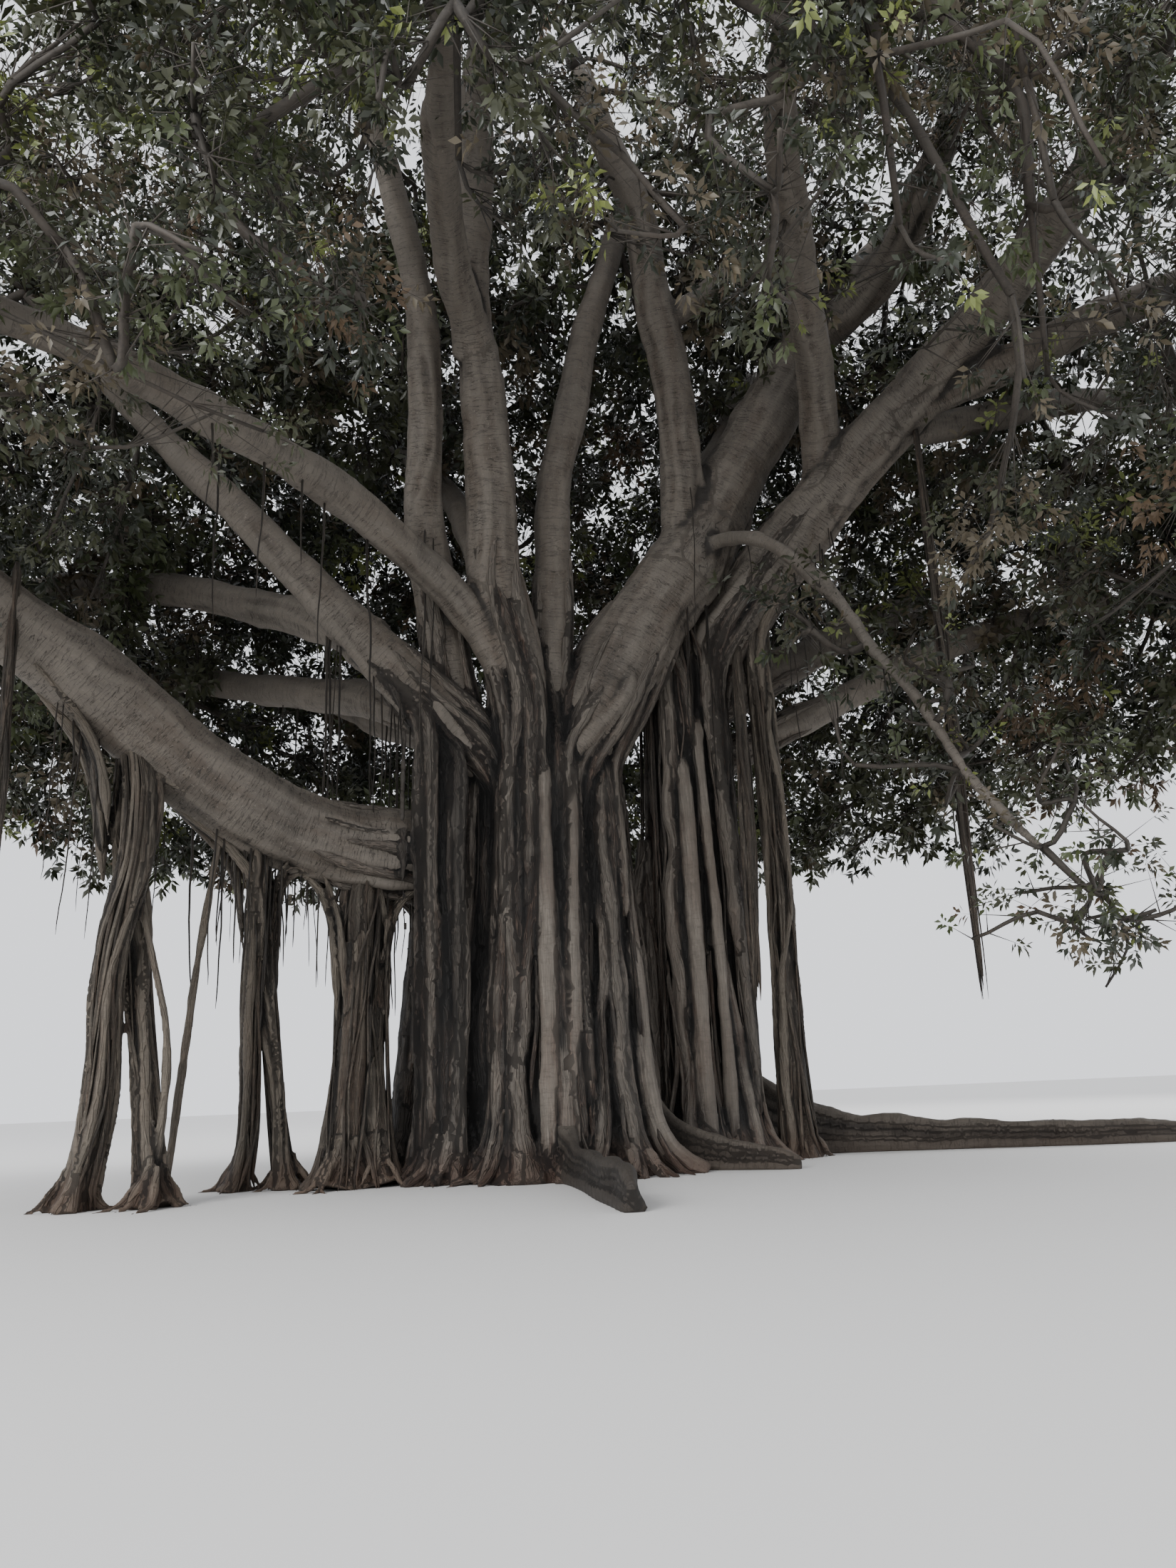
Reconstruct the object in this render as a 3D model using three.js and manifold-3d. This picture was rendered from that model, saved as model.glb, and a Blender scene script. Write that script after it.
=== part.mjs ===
// A giant banyan fig: a fused trunk of many root columns, pillar roots under one low bough,
// hanging roots, wall-like surface roots, long bare boughs and an umbrella crown of leafy masses.
// Tables are in metres and degrees. The frame has +Z up, with the origin on the ground under the
// trunk; headings run anticlockwise from +X, and 270 looks back at the viewer's side.

import * as THREE from 'three';
import { mergeVertices } from 'three/addons/utils/BufferGeometryUtils.js';
import Module from 'manifold-3d';

const wasm = await Module();
wasm.setup();

// Driving dimensions

const metre = 1000; // millimetres
const clearance = 0.0004; // between touching pieces
const joinFineness = 0.00005; // slivers thinner than this are smoothed away after a join
const leafFineness = 0.024; // the same among leaves and twigs, which touch nothing else
const crown = {
  radius: 19,
  centreHeight: 10, // height of the widest ring
  dome: 17, // from the widest ring up to the top
  skirt: 9, // semi-axis under the widest ring
  rimHeight: 7.8,
  frontRimHeight: 10, // the side that faces 270 is open lower down
  billow: 0.1, // how far the outline falls back between two masses
  billowReach: 8,
};
const barkColour = { trunk: 0x5a4a3e, bough: 0x6c645b, root: 0x645244 };
const foliageColour = 0x3b4428;

// Root columns that are fused into the trunk: foot on the ground, neck where it joins the fork

const columns = [
  { foot: [-1.2, 0.1], neck: [-1.1, -0.4, 9.9], footRadius: 2.15, neckRadius: 1.25, sides: 12 },
  { foot: [-3.35, -0.6], neck: [-2.75, -0.5, 8.8], footRadius: 0.85, neckRadius: 0.7 },
  { foot: [-2.5, -1.6], neck: [-2.05, -1.2, 9.2], footRadius: 0.7, neckRadius: 0.6 },
  { foot: [-1.35, -2.05], neck: [-1.1, -1.6, 9.8], footRadius: 0.62, neckRadius: 0.62 },
  { foot: [-0.45, -2.15], neck: [-0.6, -1.4, 10.2], footRadius: 0.55, neckRadius: 0.55 },
  { foot: [0.5, -1.75], neck: [0.5, -0.9, 9.8], footRadius: 0.95, neckRadius: 0.35 },
  { foot: [0.75, -0.2], neck: [0.4, -0.2, 9.9], footRadius: 0.8, neckRadius: 0.7 },
  { foot: [-2.8, 1.2], neck: [-2.3, 0.5, 9.0], footRadius: 1.0, neckRadius: 0.75 },
  { foot: [-0.9, 2.1], neck: [-0.9, 0.7, 9.8], footRadius: 0.95, neckRadius: 0.8 },
  { foot: [0.6, 1.6], neck: [0.3, 0.5, 9.6], footRadius: 0.9, neckRadius: 0.7 },
  { foot: [1.6, 1.2], neck: [1.7, 0.7, 7.4], footRadius: 0.75, neckRadius: 0.35 },
  { foot: [2.35, 0.45], neck: [2.35, 0.1, 12.9], footRadius: 0.62, neckRadius: 0.55 },
  { foot: [3.2, 1.2], neck: [2.8, 0.4, 13.2], footRadius: 0.85, neckRadius: 0.85, sides: 10 },
  { foot: [2.9, 2.3], neck: [2.8, 0.9, 12.8], footRadius: 0.8, neckRadius: 0.7 },
  { foot: [2.0, 2.0], neck: [2.3, 0.7, 12.6], footRadius: 0.7, neckRadius: 0.6 },
];
const columnFlare = { width: 0.35, height: 0.55 }; // how a foot spreads over the ground
const columnRings = [0, 0.05, 0.14, 0.35, 0.65, 1]; // shares of the height, close at the foot
const columnTaper = 0.7;

// Boughs. Each grows from a place of its own inside the trunk, or from "on" at the share "at" of
// that bough. turn and lift are the change of heading and rise over the first and second half.
// taper under 1 keeps a limb stout and thins it late.

const boughs = [
  { name: 'bough_main_right', start: [-0.5, -0.9, 8.7], heading: 10, rise: 57, turn: [-6, -24],
    lift: [2, 0], length: 13.6, radius: 1.12, tip: 0.62, taper: 0.6 },
  { name: 'bough_low_left', start: [-1.7, -0.5, 7.1], heading: 205, rise: -14, turn: [12, 14],
    lift: [52, -28], length: 16, radius: 0.98, tip: 0.3, taper: 0.4 },
  { name: 'bough_left', start: [-1.1, -1.1, 8.3], heading: 192, rise: 42, turn: [12, 8],
    lift: [2, -4], length: 14, radius: 0.85, tip: 0.24, taper: 1.3 },
  { name: 'bough_front_stem', start: [-1.0, -1.6, 8.6], heading: 222, rise: 79, turn: [42, 26],
    lift: [-8, -32], length: 16, radius: 0.66, tip: 0.25, taper: 0.6 },
  { name: 'bough_middle_stem', start: [-0.5, -1.0, 8.9], heading: 255, rise: 86, turn: [75, 70],
    lift: [-8, -6], length: 15.6, radius: 0.48, tip: 0.22, taper: 0.5 },
  { name: 'bough_left_stem', start: [-2.3, -0.9, 8.5], heading: 225, rise: 72, turn: [50, -35],
    lift: [-2, -28], length: 16.2, radius: 0.54, tip: 0.22, taper: 0.8 },
  { name: 'bough_left_level', start: [-1.4, -0.2, 9.3], heading: 162, rise: 32, turn: [-12, 2],
    lift: [-13, -8], length: 13.5, radius: 0.56, tip: 0.22, taper: 0.5 },
  { name: 'bough_right', start: [2.8, 0.9, 11.2], heading: 335, rise: 52, turn: [-20, -42],
    lift: [-22, -24], length: 16.8, radius: 0.88, tip: 0.26, taper: 0.7 },
  { name: 'bough_right_low', start: [3.0, 2.1, 9.5], heading: 8, rise: 25, turn: [-6, -14],
    lift: [2, -24], length: 12.5, radius: 0.46, tip: 0.2, taper: 0.5 },
  { name: 'bough_back_right', start: [2.9, 1.8, 10.6], heading: 24, rise: 34, turn: [12, 4],
    lift: [-4, -18], length: 14, radius: 0.56, tip: 0.22, taper: 0.5 },
  { name: 'bough_back_upright', start: [2.6, 0.9, 11.9], heading: 60, rise: 46, turn: [-4, 6],
    lift: [-4, -16], length: 13.5, radius: 0.52, tip: 0.22, taper: 0.5 },
  { name: 'bough_back', start: [-0.5, 0.7, 9.2], heading: 88, rise: 34, turn: [-8, 6],
    lift: [-4, -20], length: 15, radius: 0.6, tip: 0.22, taper: 0.5 },
  { name: 'bough_back_left', start: [-1.8, 0.5, 8.7], heading: 132, rise: 36, turn: [-4, 4],
    lift: [-8, -18], length: 15, radius: 0.6, tip: 0.22, taper: 0.5 },
  { name: 'bough_back_top', start: [-0.9, 0.1, 9.3], heading: 118, rise: 74, turn: [8, 8],
    lift: [-12, -20], length: 14.5, radius: 0.55, tip: 0.22, taper: 0.6 },
  { name: 'bough_left_far', on: 'bough_left', at: 0.35, heading: 145, rise: 34, turn: [13, 10],
    lift: [-16, -16], length: 13, radius: 0.47, tip: 0.22, taper: 0.5 },
  { name: 'bough_left_reaching', on: 'bough_front_stem', at: 0.13, heading: 214, rise: 55,
    turn: [22, -2], lift: [-52, -14], length: 13.8, radius: 0.43, tip: 0.2, taper: 0.35 },
  { name: 'bough_front_fork', on: 'bough_front_stem', at: 0.6, heading: 258, rise: 34,
    turn: [18, 4], lift: [-30, -22], length: 8.4, radius: 0.4, tip: 0.2, taper: 0.6 },
  { name: 'bough_top', on: 'bough_main_right', at: 0.45, heading: 296, rise: 77, turn: [-56, -5],
    lift: [-9, -28], length: 12.2, radius: 0.54, tip: 0.25, taper: 0.5 },
  { name: 'bough_upper_fork', on: 'bough_main_right', at: 0.97, heading: 332, rise: 22,
    turn: [-40, -25], lift: [2, 5], length: 7.2, radius: 0.54, tip: 0.24, taper: 0.6 },
  { name: 'bough_upper_right', on: 'bough_main_right', at: 0.96, heading: 10, rise: 66,
    turn: [-15, -20], lift: [-18, -12], length: 4.4, radius: 0.45, tip: 0.22, taper: 0.6 },
  { name: 'bough_back_high', on: 'bough_main_right', at: 0.55, heading: 64, rise: 62,
    turn: [-6, 6], lift: [-4, -24], length: 10.5, radius: 0.48, tip: 0.22, taper: 0.5 },
  { name: 'bough_right_near', on: 'bough_right', at: 0.5, heading: 330, rise: 8, turn: [-10, -8],
    lift: [-6, -5], length: 9.4, radius: 0.45, tip: 0.22, taper: 0.4 },
  { name: 'bough_right_level', on: 'bough_right', at: 0.47, heading: 12, rise: 14, turn: [2, 2],
    lift: [4, -8], length: 7.4, radius: 0.42, tip: 0.22, taper: 0.4 },
  { name: 'bough_front_right', on: 'bough_right', at: 0.35, heading: 258, rise: 63,
    turn: [-6, 16], lift: [-53, -24], length: 12.2, radius: 0.43, tip: 0.2, taper: 0.5 },
  { name: 'bough_drooping', on: 'bough_main_right', at: 0.5, heading: 300, rise: -10,
    turn: [10, 4], lift: [-56, 14], length: 12.6, radius: 0.21, tip: 0.07, taper: 0.8,
    bare: true },
];
const boughStep = 2.3; // between two rings
const stoutBough = 0.5; // a thicker bough has more sides
const forks = ['bough_main_right']; // boughs whose tip carries other boughs and no leaves
const sawnStub = { on: 'bough_top', at: 0.5, heading: 352, rise: 38, length: 2.3, radius: 0.24 };

// Pillar roots that stand under a bough. Each has strands that wind round one line from foot to
// top; the top is sunk into the bough and cut to its surface.

const pillars = [
  { name: 'pillar_laced', foot: [-8.2, -4.8], top: [-8.3, -4.9, 9.6], under: 'bough_low_left',
    strands: 2, strandRadius: 0.29, windRadius: 0.27, turns: 1.1, footRadius: 0.62 },
  { name: 'pillar_slim_pair', foot: [-6.55, -1.7], top: [-6.6, -3.0, 8.1], under: 'bough_low_left',
    strands: 2, strandRadius: 0.24, windRadius: 0.2, turns: 0.6, footRadius: 0.5 },
  { name: 'pillar_stout', foot: [-4.7, -2.0], top: [-4.8, -2.0, 6.8], under: 'bough_low_left',
    strands: 3, strandRadius: 0.42, windRadius: 0.24, turns: 0.2, footRadius: 0.86 },
  { name: 'pillar_right', foot: [4.85, 1.4], top: [4.9, 0.1, 13.4], under: 'bough_right',
    strands: 1, strandRadius: 0.34, windRadius: 0, turns: 0, footRadius: 0.44 },
];
const pillarFoot = { flare: 7, spread: 0.9, gather: 9 }; // how fast feet narrow and draw together

// Aerial roots that hang free

const hangingRoots = [
  { name: 'hanging_root_right', from: 'bough_right', top: [8.25, -2.8, 17.0],
    end: [8.0, -2.9, 3.1], radius: 0.2, belly: 0.5, tip: 0.07 },
  { name: 'hanging_root_bundle', from: 'bough_right', top: [4.1, -0.1, 12.8],
    end: [3.75, -0.9, 3.4], radius: 0.2, belly: 0.75, tip: 0.14 },
  { name: 'hanging_root_left', from: 'bough_low_left', top: [-10.1, -6.9, 11.2],
    end: [-10.0, -6.7, 4.0], radius: 0.2, belly: 0.4, tip: 0.08 },
];
const hangingNeck = 0.65; // the thin upper end, as a share of the belly

// Roots that run over the ground, as walls that sink towards their ends

const surfaceRoots = [
  { name: 'root_front', start: [-0.7, -1.9], heading: 287, turn: [-10, 4], length: 7.2,
    height: [1.5, 0.62, 0.5], width: [0.9, 0.66, 0.5] },
  { name: 'root_right', start: [3.0, 2.4], heading: 9, turn: [-22, 10], length: 11.2,
    height: [2.6, 0.82, 0.4], width: [0.95, 0.72, 0.5] },
  { name: 'root_right_near', start: [0.9, -0.1], heading: 318, turn: [10, 14], length: 3.9,
    height: [2.0, 0.5, 0.12], width: [0.8, 0.6, 0.3] },
];
const surfaceDrop = 0.6; // under 1 drops early, beside the trunk

// Leafy masses: spray points on layers under the crown's outline; each point joins the nearest
// twig already grown, and carries a few leaves that each stand for a spray.

const layers = [
  { share: 0.965, points: 118, leaves: 3 },
  { share: 0.78, points: 33, leaves: 2 },
];
const leaf = { length: 3.5, width: 2.3, thickness: 0.18, widest: 0.4, apart: 0.44 };
const leafTilt = { lowest: -14, range: 46 }; // degrees outwards
const leafTries = { count: 10, turn: 0.65, droop: 0.1 }; // radians moved at each try for room
const leafClear = 0.5; // between a leaf's midrib and a bough
const twig = { tip: 0.085, stemShare: 0.86, stemTaper: 0.75, stemLength: 1.1, sunk: 0.15,
  clear: 0.18 };
const branching = { detour: 0.3, pipe: 0.9, thickest: 0.7 };
const leafDroop = 0.8; // kept free over the rim
const siteReach = 2.2; // how far past its bough's tip a mass is centred
const cellMargin = 0.05; // half the space kept open between two masses
const goldenAngle = Math.PI * (3 - Math.sqrt(5));

// Small helpers

const vector = (list) => new THREE.Vector3(...list);
const radians = THREE.MathUtils.degToRad;

function chance(key) {
  const wave = Math.sin(key * 12.9898) * 43758.5453;
  return wave - Math.floor(wave);
}

function direction(heading, rise) {
  const level = Math.cos(radians(rise));
  return new THREE.Vector3(
    Math.cos(radians(heading)) * level,
    Math.sin(radians(heading)) * level,
    Math.sin(radians(rise)),
  );
}

function halfway([first, second], share) {
  return first * Math.min(1, 2 * share) + second * Math.max(0, 2 * share - 1);
}

function throughThree([first, middle, last], share) {
  const half = share < 0.5 ? [first, middle, share * 2] : [middle, last, share * 2 - 1];
  return THREE.MathUtils.lerp(...half);
}

// Solids: a three.js geometry becomes a closed solid, and the largest body is kept after a cut

function weld(geometry) {
  geometry.deleteAttribute('normal');
  geometry.deleteAttribute('uv');
  return mergeVertices(geometry);
}

function solidOf(geometry) {
  const vertProperties = new Float32Array(geometry.attributes.position.array.length);
  geometry.attributes.position.array.forEach((value, i) => {
    vertProperties[i] = value * metre;
  });
  const triVerts = new Uint32Array(geometry.index.array);
  return new wasm.Manifold(new wasm.Mesh({ numProp: 3, vertProperties, triVerts }));
}

function largestBody(solid) {
  const bodies = solid.decompose();
  return bodies.reduce((best, body) => (body.volume() > best.volume() ? body : best));
}

function fused(solids, fineness = joinFineness) {
  const sum = solids.reduce((joined, next) => joined.add(next));
  return largestBody(sum.asOriginal().simplify(fineness * metre));
}

function cutClear(solid, neighbours) {
  const rest = neighbours.reduce((left, neighbour) => left.subtract(neighbour), solid);
  return largestBody(rest.asOriginal());
}

function geometryOf(solid) {
  const mesh = solid.getMesh();
  const geometry = new THREE.BufferGeometry();
  geometry.setAttribute('position', new THREE.BufferAttribute(mesh.vertProperties, 3));
  geometry.setIndex(new THREE.BufferAttribute(mesh.triVerts, 1));
  geometry.computeVertexNormals();
  return geometry;
}

// A limb: a cylinder bent along its stations, each a place with a radius. A grown one is the
// same limb a little larger all over, to cut its neighbours clear of it.

function sweep(stations, sides, grow = 0) {
  const geometry = weld(new THREE.CylinderGeometry(1, 1, 1, sides, stations.length - 1));
  const position = geometry.attributes.position;
  const tangents = stations.map((_, i) => {
    const before = stations[Math.max(0, i - 1)].at;
    const after = stations[Math.min(stations.length - 1, i + 1)].at;
    return after.clone().sub(before).normalize();
  });
  const reference = Math.abs(tangents[0].z) > 0.9 ? new THREE.Vector3(1, 0, 0)
    : new THREE.Vector3(0, 0, 1);
  let normal = reference;
  const frames = stations.map((station, i) => {
    const tangent = station.level ? new THREE.Vector3(0, 0, Math.sign(tangents[i].z))
      : tangents[i];
    normal = normal.clone().addScaledVector(tangent, -normal.dot(tangent)).normalize();
    return { normal, binormal: new THREE.Vector3().crossVectors(tangent, normal) };
  });
  for (let i = 0; i < position.count; i += 1) {
    const ring = Math.round((0.5 - position.getY(i)) * (stations.length - 1));
    const { at, radius } = stations[ring];
    const across = position.getX(i) * (radius + grow);
    const along = position.getZ(i) * (radius + grow);
    const point = at.clone().addScaledVector(frames[ring].normal, across)
      .addScaledVector(frames[ring].binormal, along);
    if (ring === 0) point.addScaledVector(tangents[ring], -grow);
    if (ring === stations.length - 1) point.addScaledVector(tangents[ring], grow);
    position.setXYZ(i, point.x, point.y, point.z);
  }
  return solidOf(geometry);
}

const groundCut = solidOf(weld(new THREE.BoxGeometry(80, 80, 10).translate(0, 0, -5)));

// Boughs

function boughStations(bough, places) {
  const start = bough.on ? placeOn(places[bough.on], bough.at) : vector(bough.start);
  const steps = Math.max(4, Math.round(bough.length / boughStep));
  const stations = [];
  const at = start.clone();
  for (let i = 0; i <= steps; i += 1) {
    const share = i / steps;
    const thin = (1 - share) ** bough.taper;
    stations.push({ at: at.clone(), radius: bough.tip + (bough.radius - bough.tip) * thin });
    const next = share + 0.5 / steps;
    const heading = bough.heading + halfway(bough.turn, next);
    const rise = bough.rise + halfway(bough.lift, next);
    at.addScaledVector(direction(heading, rise), bough.length / steps);
  }
  return stations;
}

function placeOn(stations, share) {
  const along = share * (stations.length - 1);
  const i = Math.min(stations.length - 2, Math.floor(along));
  return stations[i].at.clone().lerp(stations[i + 1].at, along - i);
}

function boughSides(bough) {
  return bough.radius > stoutBough ? 8 : 6;
}

function stubSolid(places) {
  const start = placeOn(places[sawnStub.on], sawnStub.at);
  const end = start.clone()
    .addScaledVector(direction(sawnStub.heading, sawnStub.rise), sawnStub.length);
  return twigSolid(start, end, sawnStub.radius, sawnStub.radius, 7);
}

// The trunk: root columns with level rings, so that their feet make one flat cut

function columnStations(column) {
  const foot = new THREE.Vector3(...column.foot, 0);
  const neck = vector(column.neck);
  return columnRings.map((share) => {
    const ease = share * share * (3 - 2 * share);
    const height = share * neck.z;
    const spread = columnFlare.width * Math.exp(-height / columnFlare.height);
    return {
      at: foot.clone().lerp(neck, ease).setZ(height),
      radius: THREE.MathUtils.lerp(column.footRadius, column.neckRadius, share ** columnTaper) + spread,
      level: true,
    };
  });
}

function trunkSolid(grow = 0) {
  return fused(columns.map((column) => sweep(columnStations(column), column.sides ?? 8, grow)));
}

// Pillar roots

function pillarStrand(pillar, strand) {
  const foot = new THREE.Vector3(...pillar.foot, 0);
  const top = vector(pillar.top);
  const steps = pillar.turns > 0.3 ? 7 : 5;
  const stations = [];
  for (let i = 0; i <= steps; i += 1) {
    const share = i / steps;
    const angle = 2 * Math.PI * (pillar.turns * share + strand / pillar.strands);
    const spread = 1 + pillarFoot.spread * Math.exp(-share * pillarFoot.gather);
    const wind = pillar.windRadius * spread;
    const bulk = pillar.footRadius / (pillar.strandRadius + pillar.windRadius) - 1;
    stations.push({
      at: foot.clone().lerp(top, share)
        .add(new THREE.Vector3(Math.cos(angle) * wind, Math.sin(angle) * wind, 0)),
      radius: pillar.strandRadius * (1 + bulk * Math.exp(-share * pillarFoot.flare)),
      level: i === 0,
    });
  }
  return sweep(stations, pillar.strands > 1 ? 7 : 8);
}

function pillarSolid(pillar, grownBoughs) {
  const strands = [];
  for (let strand = 0; strand < pillar.strands; strand += 1) {
    strands.push(pillarStrand(pillar, strand));
  }
  return cutClear(fused(strands), [groundCut, grownBoughs[pillar.under]]);
}

// Hanging roots, thickest part of the way down

function hangingSolid(root, grownBough) {
  const steps = 5;
  const top = vector(root.top);
  const end = vector(root.end);
  const stations = [];
  for (let i = 0; i <= steps; i += 1) {
    const share = i / steps;
    const swell = Math.sin(Math.PI * Math.min(1, share / (2 * root.belly)));
    const thin = THREE.MathUtils.smoothstep(share, 0.8, 1);
    stations.push({
      at: top.clone().lerp(end, share),
      radius: THREE.MathUtils.lerp(
        root.radius * THREE.MathUtils.lerp(hangingNeck, 1, swell),
        root.tip,
        thin,
      ),
    });
  }
  return cutClear(sweep(stations, 6), [grownBough]);
}

// Surface roots, cut flat by the ground

function surfaceRootSolid(root, grownTrunk) {
  const steps = 7;
  const at = new THREE.Vector3(...root.start, 0);
  const geometry = weld(new THREE.CylinderGeometry(1, 1, 1, 8, steps));
  const places = [];
  for (let i = 0; i <= steps; i += 1) {
    const share = i / steps;
    const heading = root.heading + halfway(root.turn, share);
    const side = direction(heading + 90, 0);
    const dropped = share ** surfaceDrop;
    places.push({
      at: at.clone(),
      side,
      height: throughThree(root.height, dropped),
      halfWidth: throughThree(root.width, dropped) / 2,
    });
    at.addScaledVector(direction(heading, 0), root.length / steps);
  }
  const position = geometry.attributes.position;
  for (let i = 0; i < position.count; i += 1) {
    const place = places[Math.round((0.5 - position.getY(i)) * steps)];
    const point = place.at.clone().addScaledVector(place.side, position.getX(i) * place.halfWidth);
    point.z = position.getZ(i) * place.height;
    position.setXYZ(i, point.x, point.y, point.z);
  }
  return cutClear(solidOf(geometry), [groundCut, grownTrunk]);
}

// Leafy masses

function outlineShare(point) {
  const tall = point.z > crown.centreHeight ? crown.dome : crown.skirt;
  return Math.hypot(
    point.x / crown.radius,
    point.y / crown.radius,
    (point.z - crown.centreHeight) / tall,
  );
}

function billowed(distance) {
  return 1 - crown.billow * Math.min(1, distance / crown.billowReach) ** 2;
}

function rimAt(point) {
  const front = THREE.MathUtils.smoothstep(-point.y, 6, 14);
  return THREE.MathUtils.lerp(crown.rimHeight, crown.frontRimHeight, front);
}

function nearestSite(point, sites) {
  const ranked = sites.map((site, i) => ({ i, distance: site.distanceTo(point) }))
    .sort((a, b) => a.distance - b.distance);
  return { owner: ranked[0].i, margin: (ranked[1].distance - ranked[0].distance) / 2 };
}

function insideSpace(point, owner, sites) {
  const nearest = nearestSite(point, sites);
  return nearest.owner === owner && nearest.margin > cellMargin && point.z > rimAt(point)
    && outlineShare(point) < billowed(point.distanceTo(sites[owner]));
}

function layerPoints(layer, sites) {
  const points = [];
  const lowest = (crown.rimHeight + leafDroop - crown.centreHeight) / crown.dome;
  for (let i = 0; i < layer.points; i += 1) {
    const up = 1 - ((i + 0.5) / layer.points) * (1 - lowest);
    const round = goldenAngle * i;
    const level = Math.sqrt(1 - up * up);
    const unit = new THREE.Vector3(Math.cos(round) * level, Math.sin(round) * level, up);
    const outer = unit.clone().multiply(new THREE.Vector3(crown.radius, crown.radius, crown.dome))
      .multiplyScalar(layer.share);
    const centre = new THREE.Vector3(0, 0, crown.centreHeight);
    const { owner } = nearestSite(outer.clone().add(centre), sites);
    const reach = outer.clone().add(centre).distanceTo(sites[owner]);
    const point = outer.multiplyScalar(billowed(reach)).add(centre);
    points.push({ at: point, outward: unit, leaves: layer.leaves, key: i + layer.points * 7 });
  }
  return points;
}

function clearOfLimbs(from, to, limbs, margin) {
  const samples = Math.max(2, Math.ceil(from.distanceTo(to) / 0.4));
  const point = new THREE.Vector3();
  const nearest = new THREE.Vector3();
  for (let i = 0; i <= samples; i += 1) {
    point.lerpVectors(from, to, i / samples);
    for (const limb of limbs) {
      limb.line.closestPointToPoint(point, true, nearest);
      if (nearest.distanceTo(point) < limb.radius + margin) return false;
    }
  }
  return true;
}

function twigSolid(from, to, startRadius, endRadius, sides) {
  const along = to.clone().sub(from).normalize();
  return sweep([
    { at: from.clone().addScaledVector(along, -startRadius), radius: startRadius },
    { at: to.clone().addScaledVector(along, endRadius), radius: endRadius },
  ], sides);
}

function leafSolid(root, along, face) {
  const side = new THREE.Vector3().crossVectors(face, along).normalize();
  const flat = new THREE.Vector3().crossVectors(along, side);
  const geometry = weld(new THREE.OctahedronGeometry(1, 0));
  const position = geometry.attributes.position;
  for (let i = 0; i < position.count; i += 1) {
    const end = position.getX(i);
    const share = Math.abs(end) < 0.5 ? leaf.widest : (end + 1) / 2;
    position.setX(i, share * leaf.length);
  }
  geometry.scale(1, leaf.width / 2, leaf.thickness / 2);
  geometry.applyMatrix4(new THREE.Matrix4().makeBasis(along, side, flat).setPosition(root));
  const middle = root.clone().addScaledVector(along, leaf.length * leaf.widest);
  return {
    solid: solidOf(geometry),
    tip: root.clone().addScaledVector(along, leaf.length),
    edges: [1, -1].map((way) => middle.clone().addScaledVector(side, way * leaf.width / 2)),
  };
}

function growTwigs(stemEnd, points, isClear) {
  const nodes = [{ at: stemEnd, parent: -1, load: 0 }];
  const ordered = [...points].sort((a, b) => a.at.distanceTo(stemEnd) - b.at.distanceTo(stemEnd));
  for (const point of ordered) {
    let best = -1;
    let bestCost = Infinity;
    nodes.forEach((node, i) => {
      const cost = node.at.distanceTo(point.at) + branching.detour * node.at.distanceTo(stemEnd);
      if (cost < bestCost && isClear(node.at, point.at)) {
        best = i;
        bestCost = cost;
      }
    });
    if (best >= 0) nodes.push({ ...point, parent: best, load: 1 });
  }
  for (let i = nodes.length - 1; i > 0; i -= 1) nodes[nodes[i].parent].load += nodes[i].load;
  return nodes;
}

function crosses(solid, others) {
  const box = solid.boundingBox();
  return others.some((other) => {
    const near = other.boundingBox();
    const apart = [0, 1, 2].some((i) => box.min[i] > near.max[i] || box.max[i] < near.min[i]);
    return !apart && !solid.intersect(other).isEmpty();
  });
}

function rosette(node, parentAt, isFree) {
  const leaves = [];
  const east = new THREE.Vector3(0, 0, 1).cross(node.outward).normalize();
  const north = new THREE.Vector3().crossVectors(node.outward, east);
  const back = parentAt.clone().sub(node.at);
  const step = Math.min(leaf.apart, back.length() / (node.leaves + 1));
  back.normalize();
  for (let k = 0; k < node.leaves; k += 1) {
    const root = node.at.clone().addScaledVector(back, step * k);
    for (let attempt = 0; attempt < leafTries.count; attempt += 1) {
      const key = node.key * 31 + k * 7;
      const turn = 2 * Math.PI * (k / node.leaves + chance(key)) + attempt * leafTries.turn;
      const tilt = radians(leafTilt.lowest + leafTilt.range * chance(key + 3))
        - attempt * leafTries.droop;
      const along = east.clone().multiplyScalar(Math.cos(turn) * Math.cos(tilt))
        .addScaledVector(north, Math.sin(turn) * Math.cos(tilt))
        .addScaledVector(node.outward, Math.sin(tilt));
      const made = leafSolid(root, along, node.outward);
      if (isFree(made, root)) {
        leaves.push(made.solid);
        break;
      }
    }
  }
  return leaves;
}

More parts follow.
